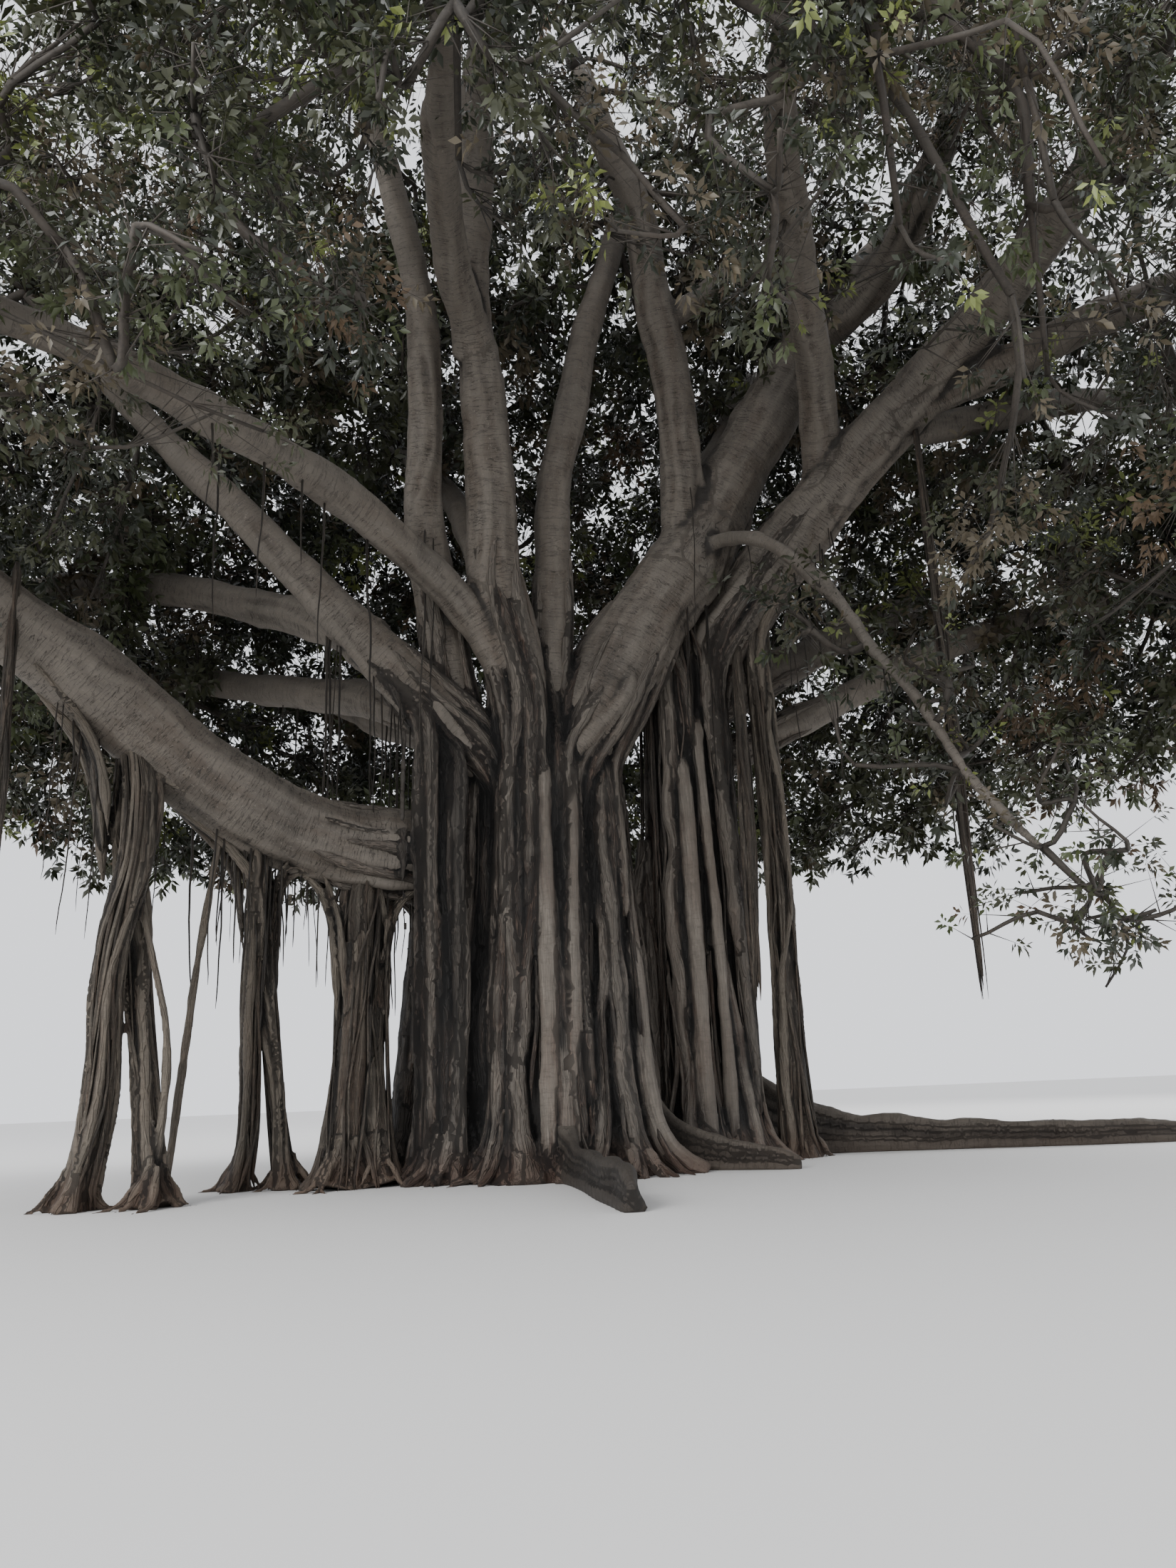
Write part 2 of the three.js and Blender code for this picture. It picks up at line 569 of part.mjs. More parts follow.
function massSolid(bough, stations, owner, sites, points, limbs, keepOut) {
  const last = stations[stations.length - 1];
  const along = last.at.clone().sub(stations[stations.length - 2].at).normalize();
  const stemStart = last.at.clone().addScaledVector(along, clearance);
  const stemEnd = last.at.clone().addScaledVector(along, twig.stemLength);
  const stemRadius = bough.tip * twig.stemShare;
  const stem = sweep([
    { at: stemStart, radius: stemRadius },
    { at: stemEnd, radius: stemRadius * twig.stemTaper },
  ], 6);
  const reachable = points.filter((point) => insideSpace(point.at, owner, sites));
  const isClear = (from, to) => clearOfLimbs(from, to, limbs, twig.clear);
  const firstFork = stemEnd.clone().addScaledVector(along, -twig.sunk);
  const nodes = growTwigs(firstFork, reachable, isClear);
  const twigs = nodes.map((node, i) => {
    if (i === 0) return stem;
    const piped = twig.tip * branching.pipe * Math.sqrt(node.load + 1);
    const startRadius = Math.min(stemRadius * branching.thickest, piped);
    return twigSolid(nodes[node.parent].at, node.at, startRadius, twig.tip, 3);
  });
  const leaves = [];
  nodes.forEach((node, i) => {
    if (i === 0) return;
    const others = twigs.filter((_, j) => j !== i);
    const isFree = (made, root) => [made.tip, ...made.edges]
      .every((place) => insideSpace(place, owner, sites))
      && clearOfLimbs(root, made.tip, limbs, leafClear)
      && clearOfLimbs(made.edges[0], made.edges[1], limbs, twig.clear)
      && ![others, leaves, keepOut].some((solids) => crosses(made.solid, solids));
    leaves.push(...rosette(node, nodes[node.parent].at, isFree));
  });
  return fused([...twigs, ...leaves], leafFineness);
}

// The whole tree, as a scene graph of named meshes

const group = new THREE.Group();

function material(colour, roughness) {
  return new THREE.MeshStandardMaterial({ color: colour, roughness, metalness: 0 });
}

function addNode(name, solid, finish) {
  const node = new THREE.Mesh(geometryOf(solid), finish);
  node.name = name;
  group.add(node);
}

const places = {};
boughs.forEach((bough) => {
  places[bough.name] = boughStations(bough, places);
});

const grownTrunk = trunkSolid(clearance);
addNode('trunk', trunkSolid(), material(barkColour.trunk, 0.95));

const grownBoughs = {};
boughs.forEach((bough) => {
  let solid = sweep(places[bough.name], boughSides(bough));
  if (bough.name === sawnStub.on) solid = fused([solid, stubSolid(places)]);
  solid = cutClear(solid, [grownTrunk, ...Object.values(grownBoughs)]);
  grownBoughs[bough.name] = sweep(places[bough.name], boughSides(bough), clearance);
  addNode(bough.name, solid, material(barkColour.bough, 0.85));
});

pillars.forEach((pillar) => {
  addNode(pillar.name, pillarSolid(pillar, grownBoughs), material(barkColour.root, 0.95));
});

hangingRoots.forEach((root) => {
  addNode(root.name, hangingSolid(root, grownBoughs[root.from]), material(barkColour.root, 0.95));
});

surfaceRoots.forEach((root) => {
  addNode(root.name, surfaceRootSolid(root, grownTrunk), material(barkColour.root, 0.95));
});

const leafy = boughs.filter((bough) => !bough.bare && !forks.includes(bough.name));
const sites = leafy.map((bough) => {
  const stations = places[bough.name];
  const last = stations[stations.length - 1].at;
  const along = last.clone().sub(stations[stations.length - 2].at).normalize();
  return last.clone().addScaledVector(along, siteReach);
});
const limbs = boughs.flatMap((bough) => places[bough.name].slice(1).map((station, i) => {
  const before = places[bough.name][i];
  return {
    name: bough.name,
    line: new THREE.Line3(before.at, station.at),
    radius: Math.max(before.radius, station.radius),
  };
}));
const keepOut = boughs.map((bough) => sweep(places[bough.name], boughSides(bough), twig.clear));
const sprayPoints = layers.flatMap((layer) => layerPoints(layer, sites));
leafy.forEach((bough, owner) => {
  const name = bough.name.replace('bough', 'foliage');
  const stations = places[bough.name];
  const solid = massSolid(bough, stations, owner, sites, sprayPoints, limbs, keepOut);
  addNode(name, solid, material(foliageColour, 0.6));
});

export default group;
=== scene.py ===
# A giant banyan fig: a trunk of fused roots, pillar and hanging roots, wall-like surface roots,
# long boughs and an umbrella crown. Metres, +Z up, seen from -Y. Headings run from +X.
import math

import bpy
import numpy as np
from mathutils.kdtree import KDTree
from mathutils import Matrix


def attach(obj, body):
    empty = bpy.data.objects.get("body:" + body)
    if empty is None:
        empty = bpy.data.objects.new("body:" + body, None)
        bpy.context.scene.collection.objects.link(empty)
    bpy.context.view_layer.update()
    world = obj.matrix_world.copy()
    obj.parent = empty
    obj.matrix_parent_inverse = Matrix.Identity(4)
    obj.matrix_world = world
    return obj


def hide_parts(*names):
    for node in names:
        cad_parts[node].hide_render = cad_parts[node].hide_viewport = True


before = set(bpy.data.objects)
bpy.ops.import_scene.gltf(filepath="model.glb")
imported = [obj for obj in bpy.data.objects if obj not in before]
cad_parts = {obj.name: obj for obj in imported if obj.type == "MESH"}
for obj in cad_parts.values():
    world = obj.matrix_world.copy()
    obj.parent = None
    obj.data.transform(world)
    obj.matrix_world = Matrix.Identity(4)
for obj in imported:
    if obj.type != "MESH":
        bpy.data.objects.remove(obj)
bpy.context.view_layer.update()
print("frame loaded:", len(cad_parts), "solids")

# camera

cameraView = {"place": (0, -25, 1.6), "pitch": 15.9, "roll": 2.3, "lens": 24.97, "sensor": 36,
              "far": 500}


def addCamera():
    bpy.ops.object.select_all(action="DESELECT")
    bpy.ops.object.camera_add(location=cameraView["place"])
    camera = bpy.context.object
    camera.name = "viewCamera"
    camera.rotation_mode = "XYZ"
    camera.rotation_euler = (
        math.radians(90 + cameraView["pitch"]), math.radians(cameraView["roll"]), 0)
    camera.data.sensor_width = cameraView["sensor"]
    camera.data.lens = cameraView["lens"]
    camera.data.clip_end = cameraView["far"]
    bpy.context.scene.camera = camera


addCamera()

# small helpers

fullTurn = 2 * math.pi
upward = np.array([0, 0, 1.0])
levelOnly = (1, 1, 0)


def makeActive(obj):
    bpy.ops.object.select_all(action="DESELECT")
    obj.select_set(True)
    bpy.context.view_layer.objects.active = obj


def applyModifier(obj, name, kind, **settings):
    makeActive(obj)
    modifier = obj.modifiers.new(name, kind)
    for key, value in settings.items():
        setattr(modifier, key, value)
    bpy.ops.object.modifier_apply(modifier=modifier.name)


def towards(heading, rise):
    flat = math.cos(math.radians(rise))
    return np.array([math.cos(math.radians(heading)) * flat,
                     math.sin(math.radians(heading)) * flat, math.sin(math.radians(rise))])


def unit(vectors):
    return vectors / np.maximum(np.linalg.norm(vectors, axis=-1, keepdims=True), 1e-9)


def ease(value, low, high):
    share = np.clip((value - low) / (high - low), 0, 1)
    return share * share * (3 - 2 * share)


def ringed(angle):
    return np.stack([np.cos(angle), np.sin(angle), 0 * angle], 1)


def crossAxis(way, steepest):
    # an axis to cross each way with: up, or +X where the way itself is steep
    return np.where(np.abs(way[..., 2:]) < steepest, (0, 0, 1.0), (1.0, 0, 0))


def softNoise(places, seed=0):
    # smooth noise from -1 to 1 with one wave a unit, from a hash of the cell's corners
    places = np.atleast_2d(np.asarray(places, float))
    cell = np.floor(places).astype(np.int64)
    part = places - cell
    part = part * part * (3 - 2 * part)
    total = np.zeros(len(places))
    for corner in np.ndindex(2, 2, 2):
        spot = cell + corner
        key = spot @ (374761393, 668265263, 1440662683)
        key = (key + seed * 982451653) & 0xFFFFFFFF
        key = ((key ^ (key >> 13)) * 1274126177) & 0xFFFFFFFF
        value = ((key ^ (key >> 16)) & 0xFFFF) / 32767.5 - 1
        total += np.prod(np.where(np.array(corner), part, 1 - part), axis=1) * value
    return total


def waver(shares, scale, seed):
    # one noise along a line
    shares = np.asarray(shares, float)
    rest = 0 * shares
    return softNoise(np.stack([shares * scale, rest + 0.37, rest + seed * 1.7], 1), seed)


# limbs as lines: points with a radius each

def makeLine(points, radii, tone=0.5, seed=0):
    points = np.asarray(points, float)
    tangent = unit(np.gradient(points, axis=0))
    normal = np.zeros_like(points)
    side = upward if abs(tangent[0, 2]) < 0.9 else np.array([1.0, 0, 0])
    for i in range(len(points)):
        side = side - tangent[i] * (side @ tangent[i])
        side = side / np.linalg.norm(side)
        normal[i] = side
    steps = np.linalg.norm(np.diff(points, axis=0), axis=1)
    return {"points": points, "radii": np.broadcast_to(np.asarray(radii, float), len(points)),
            "tangent": tangent, "normal": normal, "binormal": np.cross(tangent, normal),
            "tone": tone, "seed": seed, "along": np.concatenate([[0], np.cumsum(steps)])}


def sampled(line, at, key="points"):
    return np.stack([np.interp(at, line["along"], line[key][:, i]) for i in range(3)], -1)


def onLine(line, share):
    return sampled(line, share * line["along"][-1])


def radiusOn(line, at):
    return np.interp(at, line["along"], line["radii"])


def relaxed(points, rounds):
    # takes the corners off a row of points
    for _ in range(rounds):
        points[1:-1] = (points[:-2] + 2 * points[1:-1] + points[2:]) / 4
    return points


def taperedEnds(line, reach=0.5):
    # ends that thin out instead of stopping short
    share = line["along"] / line["along"][-1]
    ends = np.clip(np.minimum(share, 1 - share) * line["along"][-1] / reach, 0.12, 1) ** 0.6
    return {**line, "radii": line["radii"] * ends}


def lineObject(name, lines, sides=8):
    # one curve object with a bevelled spline for each line, made a mesh
    makeActive(next(iter(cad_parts.values())))
    bpy.ops.object.select_all(action="DESELECT")
    bpy.ops.curve.primitive_nurbs_path_add()
    obj = bpy.context.object
    obj.name = obj.data.name = name
    curve = obj.data
    curve.splines.clear()
    curve.bevel_depth = 1
    curve.bevel_resolution = (sides - 4) // 2
    curve.use_fill_caps = True
    for line in lines:
        spline = curve.splines.new("POLY")
        spline.points.add(len(line["points"]) - 1)
        places = np.concatenate([line["points"], np.ones((len(line["points"]), 1))], axis=1)
        spline.points.foreach_set("co", places.ravel())
        spline.points.foreach_set("radius", line["radii"])
        spline.use_smooth = True
    bpy.ops.object.convert(target="MESH")
    return bpy.context.object


def nearestLines(points, lines, spacing=0.12):
    # for each point: its place round and along the line it lies on, and that line's tone there
    samples, owners, stations = [], [], []
    for number, line in enumerate(lines):
        length = line["along"][-1]
        at = np.linspace(0, length, max(3, int(length / spacing)))
        samples.append(sampled(line, at))
        owners.append(np.full(len(at), number))
        stations.append(at)
    samples, owners, stations = map(np.concatenate, (samples, owners, stations))
    tree = KDTree(len(samples))
    for i, place in enumerate(samples):
        tree.insert(place, i)
    tree.balance()
    found = np.array([tree.find(point)[1] for point in points])
    owner, station = owners[found], stations[found]
    grain, tone = np.zeros((len(points), 3)), np.zeros(len(points))
    for number, line in enumerate(lines):
        mine = owner == number
        if not mine.any():
            continue
        at = station[mine]
        off = points[mine] - samples[found[mine]]
        shift = [(off * sampled(line, at, key)).sum(1) for key in ("normal", "binormal", "tangent")]
        grain[mine] = np.stack([shift[0] + line["seed"] * 3.7, shift[1], at + shift[2]], 1)
        tone[mine] = np.interp(at, line["along"], np.broadcast_to(line["tone"], len(line["along"])))
    return grain, tone


# mesh work in arrays

def meshPoints(obj):
    points = np.empty(len(obj.data.vertices) * 3)
    obj.data.vertices.foreach_get("co", points)
    return points.reshape(-1, 3)


def meshNormals(obj):
    normals = np.empty(len(obj.data.vertices) * 3, dtype=np.float32)
    obj.data.vertex_normals.foreach_get("vector", normals)
    return normals.reshape(-1, 3).astype(float)


def movePoints(obj, points):
    # nothing goes below the ground
    points[:, 2] = np.maximum(points[:, 2], 0)
    obj.data.vertices.foreach_set("co", points.ravel())
    obj.data.update()


def smoothedPoints(obj, points, rounds):
    edges = np.empty(len(obj.data.edges) * 2, dtype=np.int32)
    obj.data.edges.foreach_get("vertices", edges)
    first, second = edges.reshape(-1, 2).T
    count = len(points)
    degree = np.bincount(first, minlength=count) + np.bincount(second, minlength=count)
    degree = np.maximum(degree, 1)[:, None]
    for _ in range(rounds):
        total = np.stack([np.bincount(first, points[second, i], count)
                          + np.bincount(second, points[first, i], count) for i in range(3)], 1)
        points = total / degree
    return points


def setAttributes(obj, **attributes):
    for name, values in attributes.items():
        kind, field = ("FLOAT_VECTOR", "vector") if values.ndim == 2 else ("FLOAT", "value")
        attribute = obj.data.attributes.new(name, kind, "POINT")
        attribute.data.foreach_set(field, values.astype(np.float32).ravel())


def shadeSmooth(obj):
    obj.data.polygons.foreach_set("use_smooth", np.ones(len(obj.data.polygons), dtype=bool))


def fuse(obj, voxel, rounds=2):
    # melts overlapping lines into one skin
    applyModifier(obj, "melt", "REMESH", mode="VOXEL", voxel_size=voxel, adaptivity=0)
    applyModifier(obj, "soften", "SMOOTH", factor=0.5, iterations=rounds)
    shadeSmooth(obj)


lumpScale, groundEase = 1.1, 0.25
strandWaves = (((5, 5, 0.55), 2, 1), ((11, 11, 1.2), 3, 0.6))  # waves a metre, seed, weight
ringWaves = (((1.2, 1.2, 5.5), 4, 1), ((2, 2, 13), 5, 0.5))


def scarHeight(points, place, size):
    away = np.linalg.norm(points - place, axis=1) / size
    return size * (0.34 * np.exp(-away ** 2) - 0.6 * np.exp(-(away / 0.45) ** 2))


def dressBark(obj, lines, relief, seed, scars=()):
    # the bark's relief, and the attributes that its pattern follows
    points, normals = meshPoints(obj), meshNormals(obj)
    grain, tone = nearestLines(points, lines)
    height = relief["lump"] * (softNoise(points * lumpScale, seed)
                               + 0.5 * softNoise(points * 2.7, seed + 1))
    for key, waves in (("strand", strandWaves), ("ring", ringWaves)):
        height += relief[key] * sum(
            weight * softNoise(grain * scale, seed + more) for scale, more, weight in waves)
    for place, size in scars:
        height += scarHeight(points, place, size)
    moved = points + normals * (height * ease(points[:, 2], 0, groundEase))[:, None]
    movePoints(obj, moved)
    # hollow: above 0 in a dip, below 0 on a ridge; the bark paints shade into dips and light onto
    # ridges from it
    hollow = ((smoothedPoints(obj, moved, relief["hollowRounds"]) - moved) * normals).sum(1)
    hollow = np.clip(hollow / relief["hollowDepth"], -1, 1)
    setAttributes(obj, grain=grain, hollow=hollow, tone=tone)
    applyModifier(obj, "thin", "DECIMATE", ratio=relief["keep"])
    movePoints(obj, meshPoints(obj))


def tubes(curve, thick, sides):
    # closed tubes along rows of points
    count, steps = thick.shape
    tangent = unit(np.gradient(curve, axis=1))
    side = unit(np.cross(tangent, crossAxis(tangent[:, :1], 0.85)))
    other = np.cross(tangent, side)
    angle = np.arange(sides) * fullTurn / sides
    ring = side[:, :, None] * np.cos(angle)[:, None] + other[:, :, None] * np.sin(angle)[:, None]
    points = (curve[:, :, None] + ring * thick[:, :, None, None]).reshape(-1, 3)
    base = (np.arange(count) * steps * sides)[:, None, None]
    level = (np.arange(steps - 1) * sides)[None, :, None]
    spot = np.arange(sides)[None, None]
    low, follow = base + level, (spot + 1) % sides
    walls = np.stack([low + spot, low + follow, low + sides + follow, low + sides + spot], -1)
    lids = np.concatenate([(base + spot[..., ::-1]).reshape(-1, sides),
                           (base + (steps - 1) * sides + spot).reshape(-1, sides)])
    return points, [walls.reshape(-1, 4), lids]


def meshFrom(name, parts):
    # one mesh from parts of points and faces
    mesh = bpy.data.meshes.new(name)
    offset, points, loops, sizes = 0, [], [], []
    for part, faceSets in parts:
        points.append(part)
        for faces in faceSets:
            loops.append((faces + offset).ravel())
            sizes.append(np.full(len(faces), faces.shape[1]))
        offset += len(part)
    points, loops, sizes = map(np.concatenate, (points, loops, sizes))
    mesh.vertices.add(len(points))
    mesh.vertices.foreach_set("co", points.ravel())
    mesh.loops.add(len(loops))
    mesh.loops.foreach_set("vertex_index", loops)
    mesh.polygons.add(len(sizes))
    mesh.polygons.foreach_set("loop_start", np.concatenate([[0], np.cumsum(sizes)[:-1]]))
    mesh.update(calc_edges=True)
    obj = bpy.data.objects.new(name, mesh)
    bpy.context.scene.collection.objects.link(obj)
    return obj, points


def finishPiece(obj, material, nodes):
    if material:
        obj.data.materials.append(barks[material])
    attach(obj, "root")
    if nodes:
        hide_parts(*nodes)
    print(obj.name, "has", sum(len(face.vertices) - 2 for face in obj.data.polygons), "triangles")


def fineRoots(name, roots, material, nodes, sides=5, count=26):
    # thin roots laid over a piece as closed tubes; each has a row of places that it faces away from,
    # and its side towards them is darkened with painted shade, its outer side made paler with
    # painted light
    lines = [line for line, _ in roots]
    at = np.stack([np.linspace(0, line["along"][-1], count) for line in lines])
    curve = np.stack([sampled(line, row) for line, row in zip(lines, at)])
    thick = np.stack([radiusOn(line, row) for line, row in zip(lines, at)])
    middles = np.stack([sampled({**line, "points": middle}, row)
                        for (line, middle), row in zip(roots, at)])
    curve[:, :, 2] = np.maximum(curve[:, :, 2], thick * 0.4)
    ends = np.ones(count)
    ends[[0, -1]] = 0.35
    obj, points = meshFrom(name, [tubes(curve, thick * ends, sides)])
    movePoints(obj, points)
    away = points.reshape(len(lines), count, sides, 3) - curve[:, :, None]
    facing = (unit(away) * unit(curve - middles)[:, :, None]).sum(-1)
    seeds = np.array([line["seed"] for line in lines])[:, None, None]
    turn = np.arange(sides) * fullTurn / sides
    along = at[:, :, None] + 0 * turn
    grain = np.stack([np.cos(turn) * thick[:, :, None] + seeds * 3.7,
                      np.sin(turn) * thick[:, :, None], along], -1)
    tone = np.array([line["tone"] for line in lines])[:, None, None] + 0 * along
    # hollow from facing: painted shade on the inner side, painted light on the outer side
    setAttributes(obj, grain=grain.reshape(-1, 3), hollow=(0.12 - 0.45 * facing).ravel(),
                  tone=tone.ravel())
    shadeSmooth(obj)
    finishPiece(obj, material, nodes)


# bark and leaf finishes

def addShaderNode(tree, kind, inputs=(), **settings):
    node = tree.nodes.new("ShaderNode" + kind)
    number = len(tree.nodes)
    node.location = (number % 12 * 200 - 1600, 600 - number // 12 * 260)
    for key, value in settings.items():
        setattr(node, key, value)
    for key, value in dict(inputs).items():
        if isinstance(value, bpy.types.NodeSocket):
            tree.links.new(value, node.inputs[key])
        else:
            node.inputs[key].default_value = value
    return node


def makeBarkGroup():
    # fibres run along each root or limb, wrinkles across it; hollows are darkened with painted
    # shade, and ridges made paler with painted light
    group = bpy.data.node_groups.new("barkSkin", "ShaderNodeTree")
    kinds = [("Grain", "Vector"), ("Place", "Vector"), ("Hollow", "Float"), ("Tone", "Float")]
    kinds += [(key, "Color") for key in barkColours] + [(key, "Float") for key in barkAmounts]
    for name, kind in kinds:
        group.interface.new_socket(name=name, in_out="INPUT", socket_type="NodeSocket" + kind)
    for name, kind in (("Color", "Color"), ("Roughness", "Float"), ("Height", "Float")):
        group.interface.new_socket(name=name, in_out="OUTPUT", socket_type="NodeSocket" + kind)
    take = group.nodes.new("NodeGroupInput").outputs
    result = group.nodes.new("NodeGroupOutput")

    def combine(operation, first, second):
        return addShaderNode(group, "Math", {0: first, 1: second}, operation=operation).outputs[0]

    def times(first, second):
        return combine("MULTIPLY", first, second)

    def plus(first, second):
        return combine("ADD", first, second)

    def rest(value):
        return combine("SUBTRACT", 1, value)

    def mask(value, low, high):
        limits = {"Value": value, "From Min": low, "From Max": high}
        node = addShaderNode(group, "MapRange", limits, interpolation_type="SMOOTHSTEP")
        return node.outputs["Result"]

    def stretched(vector, scale):
        return addShaderNode(group, "VectorMath", {0: vector, 1: scale},
                             operation="MULTIPLY").outputs[0]

    def noise(vector, detail, roughness):
        return addShaderNode(group, "TexNoise", {"Vector": vector, "Scale": 1, "Detail": detail,
                                                 "Roughness": roughness}).outputs["Fac"]

    def mix(share, first, second):
        return addShaderNode(group, "Mix", {"Factor": share, 6: first, 7: second},
                             data_type="RGBA").outputs[2]

    grain, tone = take["Grain"], take["Tone"]
    scale = addShaderNode(group, "CombineXYZ", {"X": take["Fibre"], "Y": take["Fibre"], "Z": 0.8})
    fibreAt = stretched(grain, scale.outputs[0])
    fibre = noise(fibreAt, 5, 0.62)
    thread = noise(stretched(fibreAt, (2.9, 2.9, 3.2)), 4, 0.65)
    patch = noise(stretched(grain, (1.1, 1.1, 0.45)), 4, 0.65)
    crease = noise(stretched(grain, (1.5, 1.5, 13)), 3, 0.55)
    speckle = noise(stretched(grain, (26, 26, 20)), 3, 0.6)
    # large soft patches by place, darkened as painted dappled shade
    dappledShade = noise(stretched(take["Place"], (0.55, 0.55, 0.3)), 4, 0.6)
    # a net of fine roots in long meshes, on the rough parts only; the meshes between its raised
    # cords are darkened with painted shade
    warp = addShaderNode(group, "TexNoise", {"Vector": grain, "Scale": 1.7, "Detail": 2})
    netAt = addShaderNode(group, "VectorMath", {0: stretched(grain, (13, 13, 1.25)),
                                                1: warp.outputs["Color"]}, operation="ADD")
    net = addShaderNode(group, "TexVoronoi", {"Vector": netAt.outputs[0], "Scale": 1},
                        feature="DISTANCE_TO_EDGE")
    netCord = mask(net.outputs["Distance"], 0.17, 0.03)
    netPart = times(mask(tone, 1.0, 0.7), take["Net"])
    # pale where a root is smooth or its tone says so, then one layer over the other
    streaked = times(rest(mask(fibre, 0.38, 0.62)), take["Streak"])
    paleShare = times(rest(streaked), plus(times(tone, 0.75), 0.12))
    paleShare = combine("MAXIMUM", paleShare, times(mask(tone, 0.9, 1.3), 0.65))
    lines = times(times(rest(mask(thread, 0.4, 0.6)), 0.5), take["Streak"])
    ring = combine("ABSOLUTE", combine("SUBTRACT", crease, 0.5), 0)
    ringMask = times(mask(ring, 0.022, 0.002), take["Wrinkles"])
    foot = addShaderNode(group, "SeparateXYZ", {0: take["Place"]}).outputs["Z"]
    colour = mix(paleShare, take["Middle"], take["Pale"])
    for share, name in (
            (times(take["Stain"], mask(patch, 0.42, 0.66)), "Warm"), (lines, "Dark"),
            # painted shade in the meshes between the net's raised cords
            (times(times(rest(netCord), netPart), 0.6), "Dark"),
            # painted dappled shade in large soft patches, then dark wrinkle rings
            (times(mask(dappledShade, 0.45, 0.7), 0.45), "Dark"), (ringMask, "Dark"),
            (times(mask(speckle, 0.6, 0.72), take["Pores"]), "Dark"),
            (times(mask(speckle, 0.4, 0.3), take["Pores"]), "Pale"),
            # painted light on ridges, then painted shade in hollows
            (times(mask(take["Hollow"], -0.1, -0.8), 0.4), "Pale"),
            (times(mask(take["Hollow"], -0.05, 0.5), 0.93), "Dark"),
            (times(mask(foot, 0.9, 0), 0.6), "Warm"),
            # painted shade: a low tone darkens the bark, for parts that stand deep in shade
            (times(mask(tone, 0.32, 0.02), 0.62), "Dark")):
        colour = mix(share, colour, take[name])
    height = combine("SUBTRACT", plus(times(fibre, 0.7), times(thread, 0.4)), times(ringMask, 0.3))
    height = plus(height, times(netCord, netPart))
    for name, value in (("Color", colour), ("Roughness", plus(times(thread, 0.3), 0.6)),
                        ("Height", height)):
        group.links.new(value, result.inputs[name])
    return group


barkColours = ("Dark", "Middle", "Pale", "Warm")
barkAmounts = ("Fibre", "Wrinkles", "Stain", "Pores", "Streak", "Net")
barkFinishes = {  # four colours; six amounts; bump distance and strength
    "trunkBark": (((0.006, 0.005, 0.004), (0.068, 0.05, 0.037), (0.235, 0.205, 0.17),
                   (0.085, 0.046, 0.029)), (16, 0.25, 0.7, 0.2, 1, 1), 0.05, 1),
    "boughBark": (((0.018, 0.015, 0.012), (0.09, 0.075, 0.06), (0.2, 0.176, 0.147),
                   (0.085, 0.06, 0.041)), (3.2, 0.85, 0.55, 0.7, 0.4, 0), 0.035, 0.7),
    "rootBark": (((0.009, 0.007, 0.005), (0.07, 0.054, 0.039), (0.245, 0.21, 0.165),
                  (0.095, 0.055, 0.034)), (18, 0.25, 0.6, 0.2, 1, 0.7), 0.045, 1),
    "twigBark": (((0.012, 0.01, 0.008), (0.05, 0.042, 0.033), (0.105, 0.09, 0.074),
                  (0.06, 0.042, 0.03)), (6, 0.4, 0.4, 0.3, 0.5, 0), 0.01, 0.6),
    "groundBark": (((0.009, 0.007, 0.005), (0.042, 0.033, 0.025), (0.14, 0.12, 0.097),
                    (0.05, 0.034, 0.023)), (7, 0.5, 0.6, 0.5, 0.6, 0), 0.05, 1),
}
leafColours = {  # base colour, roughness, share of the sprays
    "leafOlive": ((0.046, 0.05, 0.024), 0.36, 0.34),
    "leafDark": ((0.024, 0.029, 0.016), 0.32, 0.26),
    "leafGreen": ((0.06, 0.074, 0.03), 0.38, 0.16),
    "leafBrown": ((0.085, 0.068, 0.04), 0.5, 0.15),
    # painted light: bright yellow-green sprays that stand in for sunlit, backlit leaves
    "leafPaintedSunlit": ((0.17, 0.2, 0.055), 0.42, 0.035),
    "leafRust": ((0.1, 0.066, 0.036), 0.55, 0.02),
}
barkSkin = makeBarkGroup()


def plainMaterial(name, colour, roughness):
    material = bpy.data.materials.new(name)
    material.use_nodes = True
    shader = material.node_tree.nodes["Principled BSDF"]
    shader.inputs["Base Color"].default_value = (*colour, 1)
    shader.inputs["Roughness"].default_value = roughness
    return material, material.node_tree, shader


def makeBark(name):
    colours, amounts, bumpDistance, strength = barkFinishes[name]
    material, tree, shader = plainMaterial(name, colours[1], 0.7)
    inputs = {key.capitalize(): addShaderNode(tree, "Attribute", attribute_name=key).outputs[output]
              for key, output in (("grain", "Vector"), ("hollow", "Fac"), ("tone", "Fac"))}
    inputs["Place"] = addShaderNode(tree, "TexCoord").outputs["Object"]
    inputs.update(zip(barkColours, [(*colour, 1) for colour in colours]))
    inputs.update(zip(barkAmounts, amounts))
    skin = tree.nodes.new("ShaderNodeGroup")
    skin.node_tree = barkSkin
    for key, value in inputs.items():
        if key in barkColours + barkAmounts:
            skin.inputs[key].default_value = value
        else:
            tree.links.new(value, skin.inputs[key])
    bump = addShaderNode(tree, "Bump", {"Height": skin.outputs["Height"], "Strength": strength,
                                        "Distance": bumpDistance})
    tree.links.new(skin.outputs["Color"], shader.inputs["Base Color"])
    tree.links.new(skin.outputs["Roughness"], shader.inputs["Roughness"])
    tree.links.new(bump.outputs["Normal"], shader.inputs["Normal"])
    return material


barks = {name: makeBark(name) for name in barkFinishes}
leafMaterials = [plainMaterial(name, *row[:2])[0] for name, row in leafColours.items()]
print("finishes made")

# boughs: the rule of the solids, at finer steps

